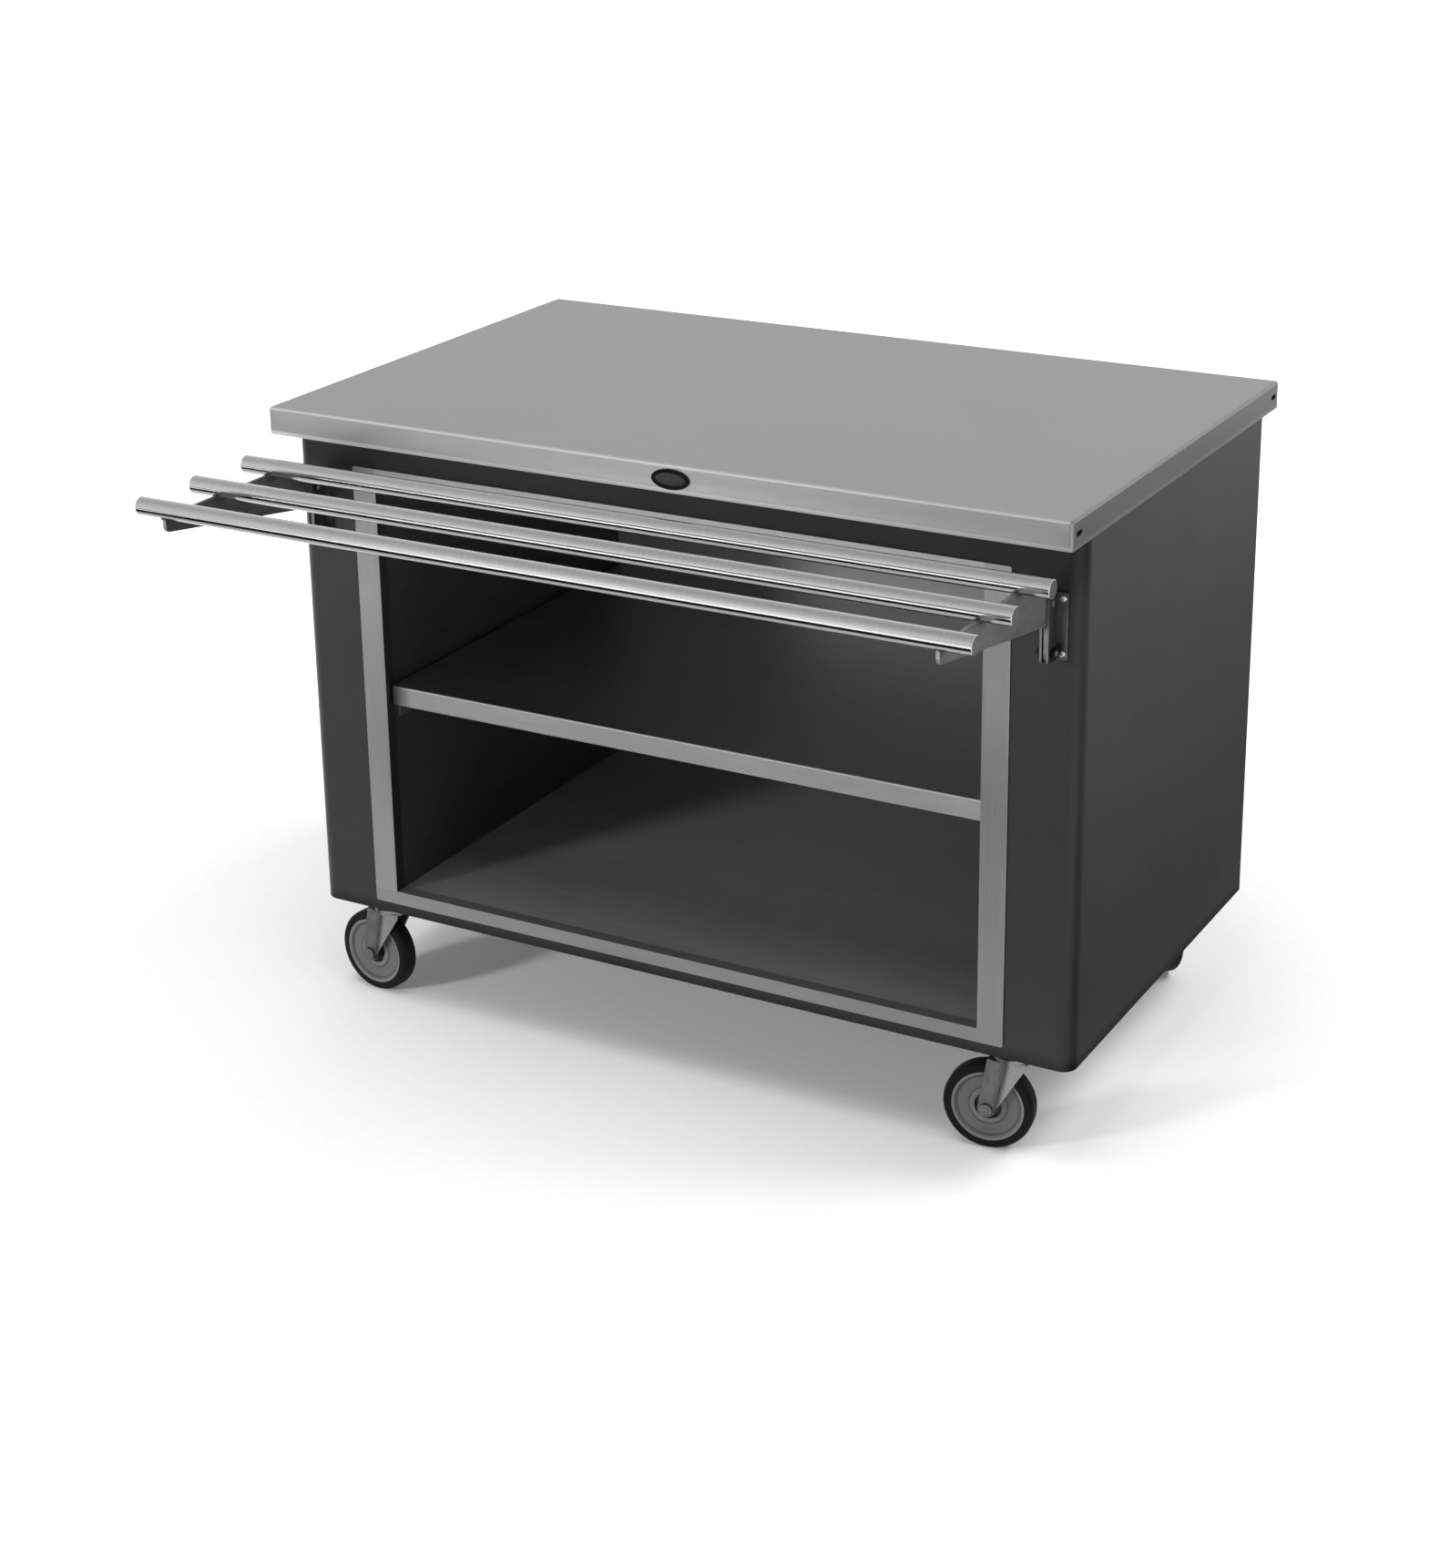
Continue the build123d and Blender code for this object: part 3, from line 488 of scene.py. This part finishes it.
def fork_zinc(place):
    """Plated fork: darker on the leg, with painted shade beside the crease and painted light on the bent
    flap.
    """
    finish = Finish(f"fork_zinc_{place}")
    pin = Vector(joints[f"swivel_{place}"]["pos_m"])
    hub = Vector(joints[f"roll_{place}"]["pos_m"])
    up = Vector((0, 0, 1))
    ahead = Vector((pin.x - hub.x, pin.y - hub.y, 0.0)).normalized()
    crease_top = Vector((pin.x, pin.y, 0.0)) + ahead * CREASE_AHEAD + up * CREASE_HEIGHT
    past = finish.beyond(crease_top, ahead * CREASE_NORMAL[0] + up * CREASE_NORMAL[1])
    patches = finish.noise(finish.place(), scale=60.0, detail=5.0, rough=0.6)
    streaks = finish.noise(finish.place(scale=(500, 500, 20)), scale=1.0)
    # painted light on the bent flap and painted shade beside the crease
    flap = finish.spread(past, 0.0, 0.36, 3 * MM, 7 * MM)
    crease = finish.times(finish.band(past, 0.0, 7 * MM), 0.14)
    shade = finish.mottle(finish.blend(0.4, patches, streaks), 0.14, 0.36)
    finish.tint(finish.minus(finish.plus(shade, flap), crease), dark=0.04, light=0.42)
    finish.rough(patches, 0.28, 0.42)
    finish.bump(patches, depth=0.05 * MM, strength=0.25)
    finish.set(Metallic=1.0)
    return finish.material


# Plastic, rubber and enamel finishes

def body_plastic():
    """Charcoal moulded body with a fine pebble and faint handling marks in its roughness. Painted light makes
    the top of its sides paler; painted shade makes its sides and front darker towards the bottom and darkens
    its round corners, its front under the worktop and its foot."""
    finish = Finish("body_charcoal_moulding")
    low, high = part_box("body_shell")
    front_heights = (0.20, 0.65)
    side_heights = (0.25, 0.80)
    pebble = finish.noise(finish.place(), scale=950.0, detail=2.0, rough=0.5)
    clouds = finish.noise(finish.place(), scale=2.4, detail=5.0, rough=0.6)
    stroke = finish.place(scale=(1, 1, 0.25), turn=(0.3, 0.2, 0.0))
    smears = finish.noise(stroke, scale=9.0, detail=6.0, rough=0.7)
    x, y, z = finish.axes()
    from_front = finish.minus(y, low.y)
    from_end = finish.minus(high.x, finish.size_of(x))
    on_side = finish.spread(from_front, 0.0, 1.0, 12 * MM, 22 * MM)
    # painted light and shade by height: sides paler at the top, sides and front darker towards the bottom
    front_painted_shading = finish.spread(z, -0.07, 0.0, *front_heights)
    side_painted_shading = finish.spread(z, -0.10, 0.24, *side_heights)
    painted_height_shading = finish.blend(on_side, front_painted_shading, side_painted_shading)
    # painted shade along the foot, on the front under the worktop and on the round corners
    painted_foot_shade = finish.spread(finish.minus(z, low.z), 0.45, 0.0, 1.5 * MM, 20.5 * MM)
    under_top = finish.spread(finish.minus(high.z, z), 0.40, 0.0, 39 * MM, 89 * MM)
    painted_shadow = finish.blend(on_side, under_top, 0.0)
    rounding = finish.plus(finish.times(from_end, 1.6), finish.times(from_front, 0.7))
    corner = finish.spread(rounding, 0.22, 0.0, 11.2 * MM, 15.0 * MM)
    shade = finish.spread(finish.blend(0.4, clouds, pebble), 0.53, 0.69, start=0.35, end=0.65)
    shade = finish.minus(finish.plus(shade, painted_height_shading), painted_foot_shade, painted_shadow, corner)
    finish.tint(shade, dark=0.001, light=0.046)
    finish.vary("Roughness", finish.mottle(finish.blend(0.5, smears, clouds), 0.36, 0.50))
    finish.bump(pebble, depth=0.06 * MM, strength=0.4)
    finish.set(Specular_IOR_Level=0.25)
    return finish.material


def wheel_plastic(place):
    """Grey moulded wheel centre, with painted highlights on the rim and collar and painted shade in the steps
    and in a groove round the hub.
    """
    finish = Finish(f"wheel_grey_moulding_{place}")
    roll = joints[f"roll_{place}"]
    radius = finish.from_axis(roll["pos_m"], roll["axis"])
    pebble = finish.noise(finish.place(), scale=700.0, detail=2.0)
    clouds = finish.noise(finish.place(), scale=30.0)
    disc = finish.mottle(finish.blend(0.3, clouds, pebble), 0.42, 0.58)
    # painted highlights on the rim and collar; painted shade in the steps and in the groove round the hub
    rim = finish.spread(radius, 0.0, 0.42, 46.5 * MM, 48.5 * MM)
    collar = finish.times(finish.band(radius, 22.5 * MM, 3.6 * MM), 0.30)
    painted_step_shade = finish.larger(finish.band(radius, 44.0 * MM, 2.2 * MM), finish.band(radius, 27.5 * MM, 1.8 * MM))
    groove = finish.spread(radius, 0.55, 0.0, 18.6 * MM, 19.4 * MM)
    painted_wheel_shade = finish.plus(finish.times(painted_step_shade, 0.34), groove)
    finish.tint(finish.minus(finish.plus(disc, rim, collar), painted_wheel_shade), dark=0.015, light=0.19)
    finish.rough(clouds, 0.36, 0.5)
    finish.bump(pebble, depth=0.04 * MM, strength=0.3)
    return finish.material


def tyre_rubber(place):
    """Black rubber, dusty on the tread: the dust follows the distance from the middle of this wheel."""
    finish = Finish(f"tyre_rubber_{place}")
    grain = finish.noise(finish.place(), scale=420.0)
    dust = finish.noise(finish.place(), scale=38.0, detail=5.0, rough=0.65)
    from_hub = finish.from_point(joints[f"roll_{place}"]["pos_m"])
    tread = finish.spread(from_hub, 0.0, 0.8, 61 * MM, 64 * MM)
    dusty = finish.times(tread, finish.spread(dust, 0.0, 1.0, start=0.4, end=0.75))
    finish.tint(dusty, dark=0.004, light=0.014)
    finish.rough(finish.blend(0.5, grain, dust), 0.5, 0.72)
    finish.bump(grain, depth=0.12 * MM, strength=0.4)
    finish.set(Specular_IOR_Level=0.14)
    return finish.material


def badge_enamel():
    """Dark enamel face of the badge, bare."""
    finish = Finish("badge_enamel")
    flecks = finish.noise(finish.place(), scale=520.0, detail=3.0)
    finish.tint(finish.spread(flecks, 0.0, 1.0, start=0.35, end=0.65), dark=0.012, light=0.036)
    finish.rough(flecks, 0.34, 0.46)
    finish.set(Specular_IOR_Level=0.35)
    return finish.material


# A finish for each node

# painted shade: the side panels take a darker copy of the liner steel
SHADED_SIDE_STEEL = plain_steel("side_steel_painted_shade", (500, 6, 500), (0.44, 0.56), dark=0.13, light=0.18)
CLEAT_STEEL = plain_steel("liner_satin_steel", (6, 500, 500), (0.40, 0.52), dark=0.24, light=0.32)
ARM_STEEL = arm_steel()
TUBE_STEEL = tube_steel()
PIVOT_BLACK = pivot_black()
GALVANISED = zinc("channel_galvanised", rough=(0.42, 0.55), dark=0.34, light=0.46)
CASTER_ZINC = zinc("caster_bright_zinc", rough=(0.28, 0.42), dark=0.22, light=0.32)
AXLE_ZINC = zinc("axle_dull_zinc", rough=(0.34, 0.48), dark=0.09, light=0.20)
FASTENER_ZINC = zinc("fastener_zinc", rough=(0.24, 0.36), dark=0.46, light=0.62)

NODE_FINISH = {
    "worktop": worktop_steel(),
    "badge_plate": zinc("badge_dark_metal", rough=(0.38, 0.5), dark=0.008, light=0.02),
    "body_shell": body_plastic(),
    "trim_frame": trim_steel(),
    "back_panel": back_steel(),
    "bottom_deck": deck_steel(),
    "mid_shelf": shelf_steel(),
    "tube_caps": TUBE_STEEL,
    "pivot_bolts": PIVOT_BLACK,
    "pivot_nuts": PIVOT_BLACK,
}
for tube in TUBES:
    NODE_FINISH[tube] = TUBE_STEEL
for fastener in ("catch_pins", "bracket_screws", "caster_bolts", "caster_nuts"):
    NODE_FINISH[fastener] = FASTENER_ZINC
for side in SIDES:
    NODE_FINISH[f"side_panel_{side}"] = SHADED_SIDE_STEEL
    NODE_FINISH[f"shelf_cleat_{side}"] = CLEAT_STEEL
    NODE_FINISH[f"worktop_stiffener_{side}"] = GALVANISED
    NODE_FINISH[f"caster_channel_{side}"] = GALVANISED
    NODE_FINISH[f"tray_bracket_{side}"] = bracket_steel(side)
    NODE_FINISH[f"tray_arm_{side}"] = ARM_STEEL
for place in CASTERS:
    for piece in ("caster_plate", "kingpin", "axle_bush"):
        NODE_FINISH[f"{piece}_{place}"] = CASTER_ZINC
    NODE_FINISH[f"axle_{place}"] = AXLE_ZINC
    NODE_FINISH[f"caster_fork_{place}"] = fork_zinc(place)
    NODE_FINISH[f"wheel_core_{place}"] = wheel_plastic(place)
    NODE_FINISH[f"tyre_{place}"] = tyre_rubber(place)
for name, material in NODE_FINISH.items():
    nodes[name].data.materials.clear()
    nodes[name].data.materials.append(material)


# Piece helpers

QUARTER_TURN = math.radians(90.0)
MERGE_DISTANCE = 0.01 * MM
# Triangles of one flat face are joined up to the flat angle, and edges past the sharp angle are rounded
FLAT_ANGLE = math.radians(1.0)
SHARP_ANGLE = math.radians(35.0)
# How strongly large faces set the normals beside a rounded edge; 50 is even
LARGE_FACE_WEIGHT = 80


def verts_of(items):
    return [item for item in items if isinstance(item, bmesh.types.BMVert)]


def open_edges(bm):
    return [edge for edge in bm.edges if edge.is_boundary]


def linked_mesh(name, bm, material):
    """Turns a bmesh into an object with one material, in the scene."""
    mesh = bpy.data.meshes.new(name)
    bm.to_mesh(mesh)
    bm.free()
    mesh.materials.append(material)
    made = bpy.data.objects.new(name, mesh)
    bpy.context.scene.collection.objects.link(made)
    return made


def finish_piece(name, bm, material, body, smooth=30.0):
    """Turns a bmesh into a piece that rides on a body; edges under the smooth angle are shaded round."""
    piece = linked_mesh(name, bm, material)
    piece.data.shade_smooth()
    piece.data.set_sharp_from_angle(angle=math.radians(smooth))
    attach(piece, body)
    return piece


def softened(node, width, body):
    """A copy of a CAD node with its sharp edges rounded, standing for the node."""
    bm = bmesh.new()
    bm.from_mesh(nodes[node].data)
    bmesh.ops.remove_doubles(bm, verts=bm.verts, dist=MERGE_DISTANCE)
    bmesh.ops.dissolve_limit(bm, angle_limit=FLAT_ANGLE, verts=bm.verts, edges=bm.edges)
    sharp = [edge for edge in bm.edges if edge.is_manifold and edge.calc_face_angle() > SHARP_ANGLE]
    bmesh.ops.bevel(bm, geom=sharp, offset=width, offset_type="OFFSET", segments=2, profile=0.5,
                    affect="EDGES", clamp_overlap=True, material=-1)
    piece = finish_piece(f"{node}_softened", bm, NODE_FINISH[node], body)
    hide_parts(node)
    weighted = piece.modifiers.new("even_normals", "WEIGHTED_NORMAL")
    weighted.weight = LARGE_FACE_WEIGHT


# Rounded edges on plates, forks and bolt heads

for side in SIDES:
    softened(f"tray_bracket_{side}", 1.0 * MM, "cabinet")
    softened(f"tray_arm_{side}", 0.8 * MM, "tray_slide")
for place in CASTERS:
    softened(f"caster_fork_{place}", 0.8 * MM, f"caster_{place}")
    softened(f"caster_plate_{place}", 0.6 * MM, "cabinet")
softened("badge_plate", 0.5 * MM, "cabinet")
for fastener in ("pivot_bolts", "pivot_nuts", "caster_bolts"):
    softened(fastener, 0.6 * MM, "cabinet")


# Weld beads under the tubes, along both faces of each arm

WELD_RADIUS = 2.2 * MM
WELD_SIDES = 10
WELD_STEPS = 18
WELD_STEEL = weld_steel()


def weld_bead(bm, face_x, axis_at, radius, start, sweep):
    """Adds an open bead that follows a tube's underside; angles are from straight down, rear positive."""
    ring = bmesh.ops.create_circle(bm, segments=WELD_SIDES, radius=WELD_RADIUS)["verts"]
    stand = Matrix.Rotation(QUARTER_TURN, 4, "X")
    foot = Matrix.Translation((face_x, axis_at.y, axis_at.z - radius))
    bmesh.ops.transform(bm, matrix=foot @ stand, verts=ring)
    bmesh.ops.rotate(bm, cent=axis_at, matrix=Matrix.Rotation(start, 3, "X"), verts=ring)
    edges = list({edge for vert in ring for edge in vert.link_edges})
    bmesh.ops.spin(bm, geom=ring + edges, cent=axis_at, axis=(1, 0, 0), angle=sweep, steps=WELD_STEPS)


for side in SIDES:
    arm_low, arm_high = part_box(f"tray_arm_{side}")
    bm = bmesh.new()
    for tube in TUBES:
        tube_low, tube_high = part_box(tube)
        axis_at = middle_of(tube)
        axis_at.x = 0.0
        radius = (tube_high.z - tube_low.z) / 2
        rear = math.acos((axis_at.z - arm_high.z) / radius)
        front = min(rear, math.asin(min(1.0, (axis_at.y - arm_low.y) / radius)))
        for face_x in (arm_low.x, arm_high.x):
            weld_bead(bm, face_x, axis_at, radius, -front, front + rear)
    bmesh.ops.holes_fill(bm, edges=open_edges(bm), sides=WELD_SIDES)
    bmesh.ops.recalc_face_normals(bm, faces=bm.faces)
    finish_piece(f"weld_beads_{side}", bm, WELD_STEEL, "tray_slide", smooth=50.0)


# Cross-recessed pan heads on the bracket screws

SCREW_TOP = 3.0 * MM
# Radius and height of each ring of the head, from its flat top down
SCREW_RINGS = ((3.5 * MM, 2.75 * MM), (4.2 * MM, 2.1 * MM), (4.5 * MM, 1.2 * MM), (4.5 * MM, 0.0))
# Half the side of the flat top, a square of cells; its cross is one cell wide and reaches so many cells out
SCREW_FLAT = 2.4 * MM
SCREW_CELLS = 7
CROSS_REACH = 2.5
CROSS_DEPTH = 1.5 * MM
CROSS_TAPER = 0.75
# Each screw stops at its own turn, in radians for each metre across and up
SCREW_TURN_ACROSS = 37.0
SCREW_TURN_UP = 11.0
# Screws from the bracket's sides and ends, and the thickness of its plate
SCREW_SIDE = 6.5 * MM
SCREW_END = 8.0 * MM
BRACKET_PLATE = 3.0 * MM

bm = bmesh.new()
bmesh.ops.create_grid(bm, x_segments=SCREW_CELLS, y_segments=SCREW_CELLS, size=SCREW_FLAT)
bmesh.ops.translate(bm, vec=(0, 0, SCREW_TOP), verts=bm.verts)
cell = 2 * SCREW_FLAT / SCREW_CELLS
cross = []
for face in bm.faces:
    across, along = sorted(abs(value) for value in face.calc_center_median().xy)
    if across < cell / 2 and along < CROSS_REACH * cell:
        cross.append(face)
cross_floor = verts_of(bmesh.ops.extrude_face_region(bm, geom=cross)["geom"])
bmesh.ops.translate(bm, vec=(0, 0, -CROSS_DEPTH), verts=cross_floor)
bmesh.ops.scale(bm, vec=(CROSS_TAPER, CROSS_TAPER, 1.0), verts=cross_floor)
for ring_radius, ring_height in SCREW_RINGS:
    ring = bmesh.ops.extrude_edge_only(bm, edges=open_edges(bm))["geom"]
    for vert in verts_of(ring):
        vert.co.xy = vert.co.xy.normalized() * ring_radius
        vert.co.z = ring_height
head = bm.verts[:] + bm.edges[:] + bm.faces[:]
for side in SIDES:
    plate_low, plate_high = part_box(f"tray_bracket_{side}")
    for x in (plate_low.x + SCREW_SIDE, plate_high.x - SCREW_SIDE):
        for z in (plate_low.z + SCREW_END, plate_high.z - SCREW_END):
            copied = bmesh.ops.duplicate(bm, geom=head)["geom"]
            own_turn = Matrix.Rotation(SCREW_TURN_ACROSS * x + SCREW_TURN_UP * z, 4, "Z")
            stand = Matrix.Rotation(QUARTER_TURN, 4, "X")
            seat = Matrix.Translation((x, plate_high.y - BRACKET_PLATE, z))
            bmesh.ops.transform(bm, matrix=seat @ stand @ own_turn, verts=verts_of(copied))
bmesh.ops.delete(bm, geom=head, context="VERTS")
bmesh.ops.recalc_face_normals(bm, faces=bm.faces)
screws = finish_piece("bracket_screw_heads", bm, FASTENER_ZINC, "cabinet", smooth=40.0)
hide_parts("bracket_screws")


# Badge: bare enamel face inside a dark rim

BADGE_HALF_LENGTH = 22.8 * MM
BADGE_HALF_HEIGHT = 8.6 * MM
BADGE_SIDES = 64
# The face starts this far behind the plate's front and domes in steps: each lifts and shrinks the one before
BADGE_FACE_SET = 0.9 * MM
BADGE_DOME = ((0.4 * MM, 0.97), (0.3 * MM, 0.85), (0.2 * MM, 0.6), (0.1 * MM, 0.3))

bm = bmesh.new()
bmesh.ops.create_circle(bm, cap_ends=True, segments=BADGE_SIDES, radius=1.0)
bmesh.ops.scale(bm, vec=(BADGE_HALF_LENGTH, BADGE_HALF_HEIGHT, 1.0), verts=bm.verts)
face = bm.faces[:]
for lift, shrink in BADGE_DOME:
    raised = bmesh.ops.extrude_face_region(bm, geom=face)["geom"]
    bmesh.ops.delete(bm, geom=face, context="FACES_ONLY")
    face = [item for item in raised if isinstance(item, bmesh.types.BMFace)]
    bmesh.ops.translate(bm, vec=(0, 0, lift), verts=verts_of(raised))
    bmesh.ops.scale(bm, vec=(shrink, shrink, 1.0), verts=verts_of(raised))
bmesh.ops.rotate(bm, cent=(0, 0, 0), matrix=Matrix.Rotation(QUARTER_TURN, 3, "X"), verts=bm.verts)
badge_at = middle_of("badge_plate")
badge_at.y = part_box("badge_plate")[0].y + BADGE_FACE_SET
bmesh.ops.translate(bm, vec=badge_at, verts=bm.verts)
bmesh.ops.recalc_face_normals(bm, faces=bm.faces)
finish_piece("badge_enamel_face", bm, badge_enamel(), "cabinet")


# Studio floor and sky

FLOOR_SIZE = 60.0
# Distances from under the middle of the stand between which the floor turns from its own grey to white
FLOOR_WHITE = (1.0, 2.6)
# Heights in the sky, 0 level and 1 straight up, between which it dims, and its grey overhead
SKY_DIMS = (0.40, 0.95)
SKY_OVERHEAD = 0.55
# Strength of the sky as a light; what is seen of it has a strength of 1
SKY_LIGHT = 0.35


def stage_plane(name, material, width, depth, stand=Matrix()):
    """Flat plane of the studio, which is no part of the stand."""
    bm = bmesh.new()
    bmesh.ops.create_grid(bm, x_segments=1, y_segments=1, size=0.5)
    bmesh.ops.scale(bm, vec=(width, depth, 1.0), verts=bm.verts)
    bmesh.ops.transform(bm, matrix=stand, verts=bm.verts)
    plane = linked_mesh(name, bm, material)
    return plane


def floor_white():
    """Pale floor that takes the stand's shadow and turns white away from it."""
    finish = Finish("studio_floor_white")
    speckle = finish.noise(finish.place(), scale=60.0)
    finish.tint(finish.spread(speckle, 0.0, 1.0), dark=0.80, light=0.82)
    finish.set(Emission_Color=grey(1.0), Roughness=0.9, Specular_IOR_Level=0.0)
    glow = finish.spread(finish.from_point((0, 0, 0)), 0.10, 1.0, *FLOOR_WHITE)
    finish.vary("Emission Strength", finish.times(finish.seen_directly(), glow))
    return finish.material


stage_plane("studio_floor", floor_white(), FLOOR_SIZE, FLOOR_SIZE)

world = bpy.data.worlds.new("studio_world")
bpy.context.scene.world = world
world.use_nodes = True
sky = Nodes(world.node_tree)
backdrop = world.node_tree.nodes["Background"]
sky_height = sky.split(sky.node("ShaderNodeTexCoord").outputs["Generated"])[2]
sky.link(sky.spread(sky_height, 1.0, SKY_OVERHEAD, *SKY_DIMS), backdrop.inputs["Color"])
sky.link(sky.blend(sky.seen_directly(), SKY_LIGHT, 1.0), backdrop.inputs["Strength"])


# Lamps and the cards that steel reflects

KEY_TARGET = (0.0, 0.1, 0.55)
KEY_FACE_PLACE = (-1.9, -4.0, 1.05)
CARD_LIFT = 3 * MM


def facing(where, target):
    """Rotation of a lamp or a card that stands at one point and faces another."""
    return (Vector(target) - Vector(where)).to_track_quat("-Z", "Y")


def softbox(name, where, target, width, height, power):
    """Soft light with no mirror image on metal; what steel reflects are the cards."""
    lamp = bpy.data.lights.new(name, "AREA")
    lamp.shape = "RECTANGLE"
    lamp.size = width
    lamp.size_y = height
    lamp.energy = power
    made = bpy.data.objects.new(name, lamp)
    made.location = where
    made.rotation_euler = facing(where, target).to_euler()
    made.visible_glossy = False
    bpy.context.scene.collection.objects.link(made)


def reflection_card(name, material, where, width, depth, turn=Matrix()):
    """Flat studio card that only reflections see: it draws the light and dark lines on polished steel."""
    card = stage_plane(name, material, width, depth, Matrix.Translation(where) @ turn)
    card.visible_camera = False
    card.visible_diffuse = False
    card.visible_shadow = False


def grey_card(name, axis, near, far, near_grey, far_grey):
    """Matt card that goes from one grey to another along an axis of the floor."""
    finish = Finish(name)
    along = finish.axes()["XYZ".index(axis)]
    finish.tint(finish.spread(along, 0.0, 1.0, near, far), near_grey, far_grey)
    finish.set(Roughness=1.0, Specular_IOR_Level=0.0)
    return finish.material


def lit_card(name, strength):
    """Card that glows, a little unevenly."""
    finish = Finish(name)
    glow = finish.spread(finish.noise(finish.place(), scale=1.5), 0.9 * strength, 1.1 * strength)
    finish.vary("Emission Strength", glow)
    finish.set(Base_Color=grey(0.02), Emission_Color=grey(1.0), Roughness=1.0)
    return finish.material


softbox("key_left", where=(-2.33, -3.82, 1.55), target=KEY_TARGET, width=0.6, height=0.6, power=110.0)
softbox("top_soft", where=(-0.4, -0.6, 3.6), target=(0.0, 0.1, 0.5), width=2.6, height=2.0, power=105.0)
softbox("right_fill", where=(1.7, 0.9, 1.9), target=(0.6, 0.3, 0.85), width=1.2, height=0.8, power=44.0)

front_grey = grey_card("front_card_grey", "Y", near=-1.0, far=-0.9, near_grey=0.01, far_grey=0.60)
right_grey = grey_card("right_card_grey", "X", near=1.1, far=2.4, near_grey=0.10, far_grey=0.43)
left_glow = lit_card("left_card_grey", strength=0.25)
key_glow = lit_card("key_face_white", strength=1.25)
key_turn = facing(KEY_FACE_PLACE, KEY_TARGET).to_matrix().to_4x4()
reflection_card("front_card", front_grey, where=(-0.5, -1.325, CARD_LIFT), width=3.0, depth=1.75)
reflection_card("right_card", right_grey, where=(1.85, 1.85, CARD_LIFT), width=2.4, depth=4.5)
reflection_card("left_card", left_glow, where=(-3.45, -2.6, CARD_LIFT), width=2.3, depth=3.0)
reflection_card("key_face", key_glow, where=KEY_FACE_PLACE, width=1.4, depth=2.1, turn=key_turn)


# Camera, fitted to the photograph

CAMERA_PLACE = (1.85828, -3.310725, 1.958165)
CAMERA_AZIMUTH = math.radians(29.399)
CAMERA_ELEVATION = math.radians(18.748)
CAMERA_ROLL = math.radians(-0.82)
IMAGE_HEIGHT_PX = 1722.0
FOCAL_LENGTH_PX = 3132.154
SENSOR_MM = 36.0
# Shift of the picture, as a share of its longer side
FRAME_SHIFT = -0.12

lens = bpy.data.cameras.new("photo_camera")
lens.sensor_width = SENSOR_MM
lens.lens = SENSOR_MM * FOCAL_LENGTH_PX / IMAGE_HEIGHT_PX
lens.shift_y = FRAME_SHIFT
lens.clip_end = 100.0
camera = bpy.data.objects.new("photo_camera", lens)
bpy.context.scene.collection.objects.link(camera)
bpy.context.scene.camera = camera
level_back = Vector((math.sin(CAMERA_AZIMUTH), -math.cos(CAMERA_AZIMUTH), 0.0))
back = level_back * math.cos(CAMERA_ELEVATION) + Vector((0, 0, math.sin(CAMERA_ELEVATION)))
right = Vector((0, 0, 1)).cross(back).normalized()
up = back.cross(right)
rolled_right = right * math.cos(CAMERA_ROLL) + up * math.sin(CAMERA_ROLL)
rolled_up = up * math.cos(CAMERA_ROLL) - right * math.sin(CAMERA_ROLL)
camera_turn = Matrix((rolled_right, rolled_up, back)).transposed().to_4x4()
camera.matrix_world = Matrix.Translation(CAMERA_PLACE) @ camera_turn

bpy.context.scene.view_settings.view_transform = "Standard"
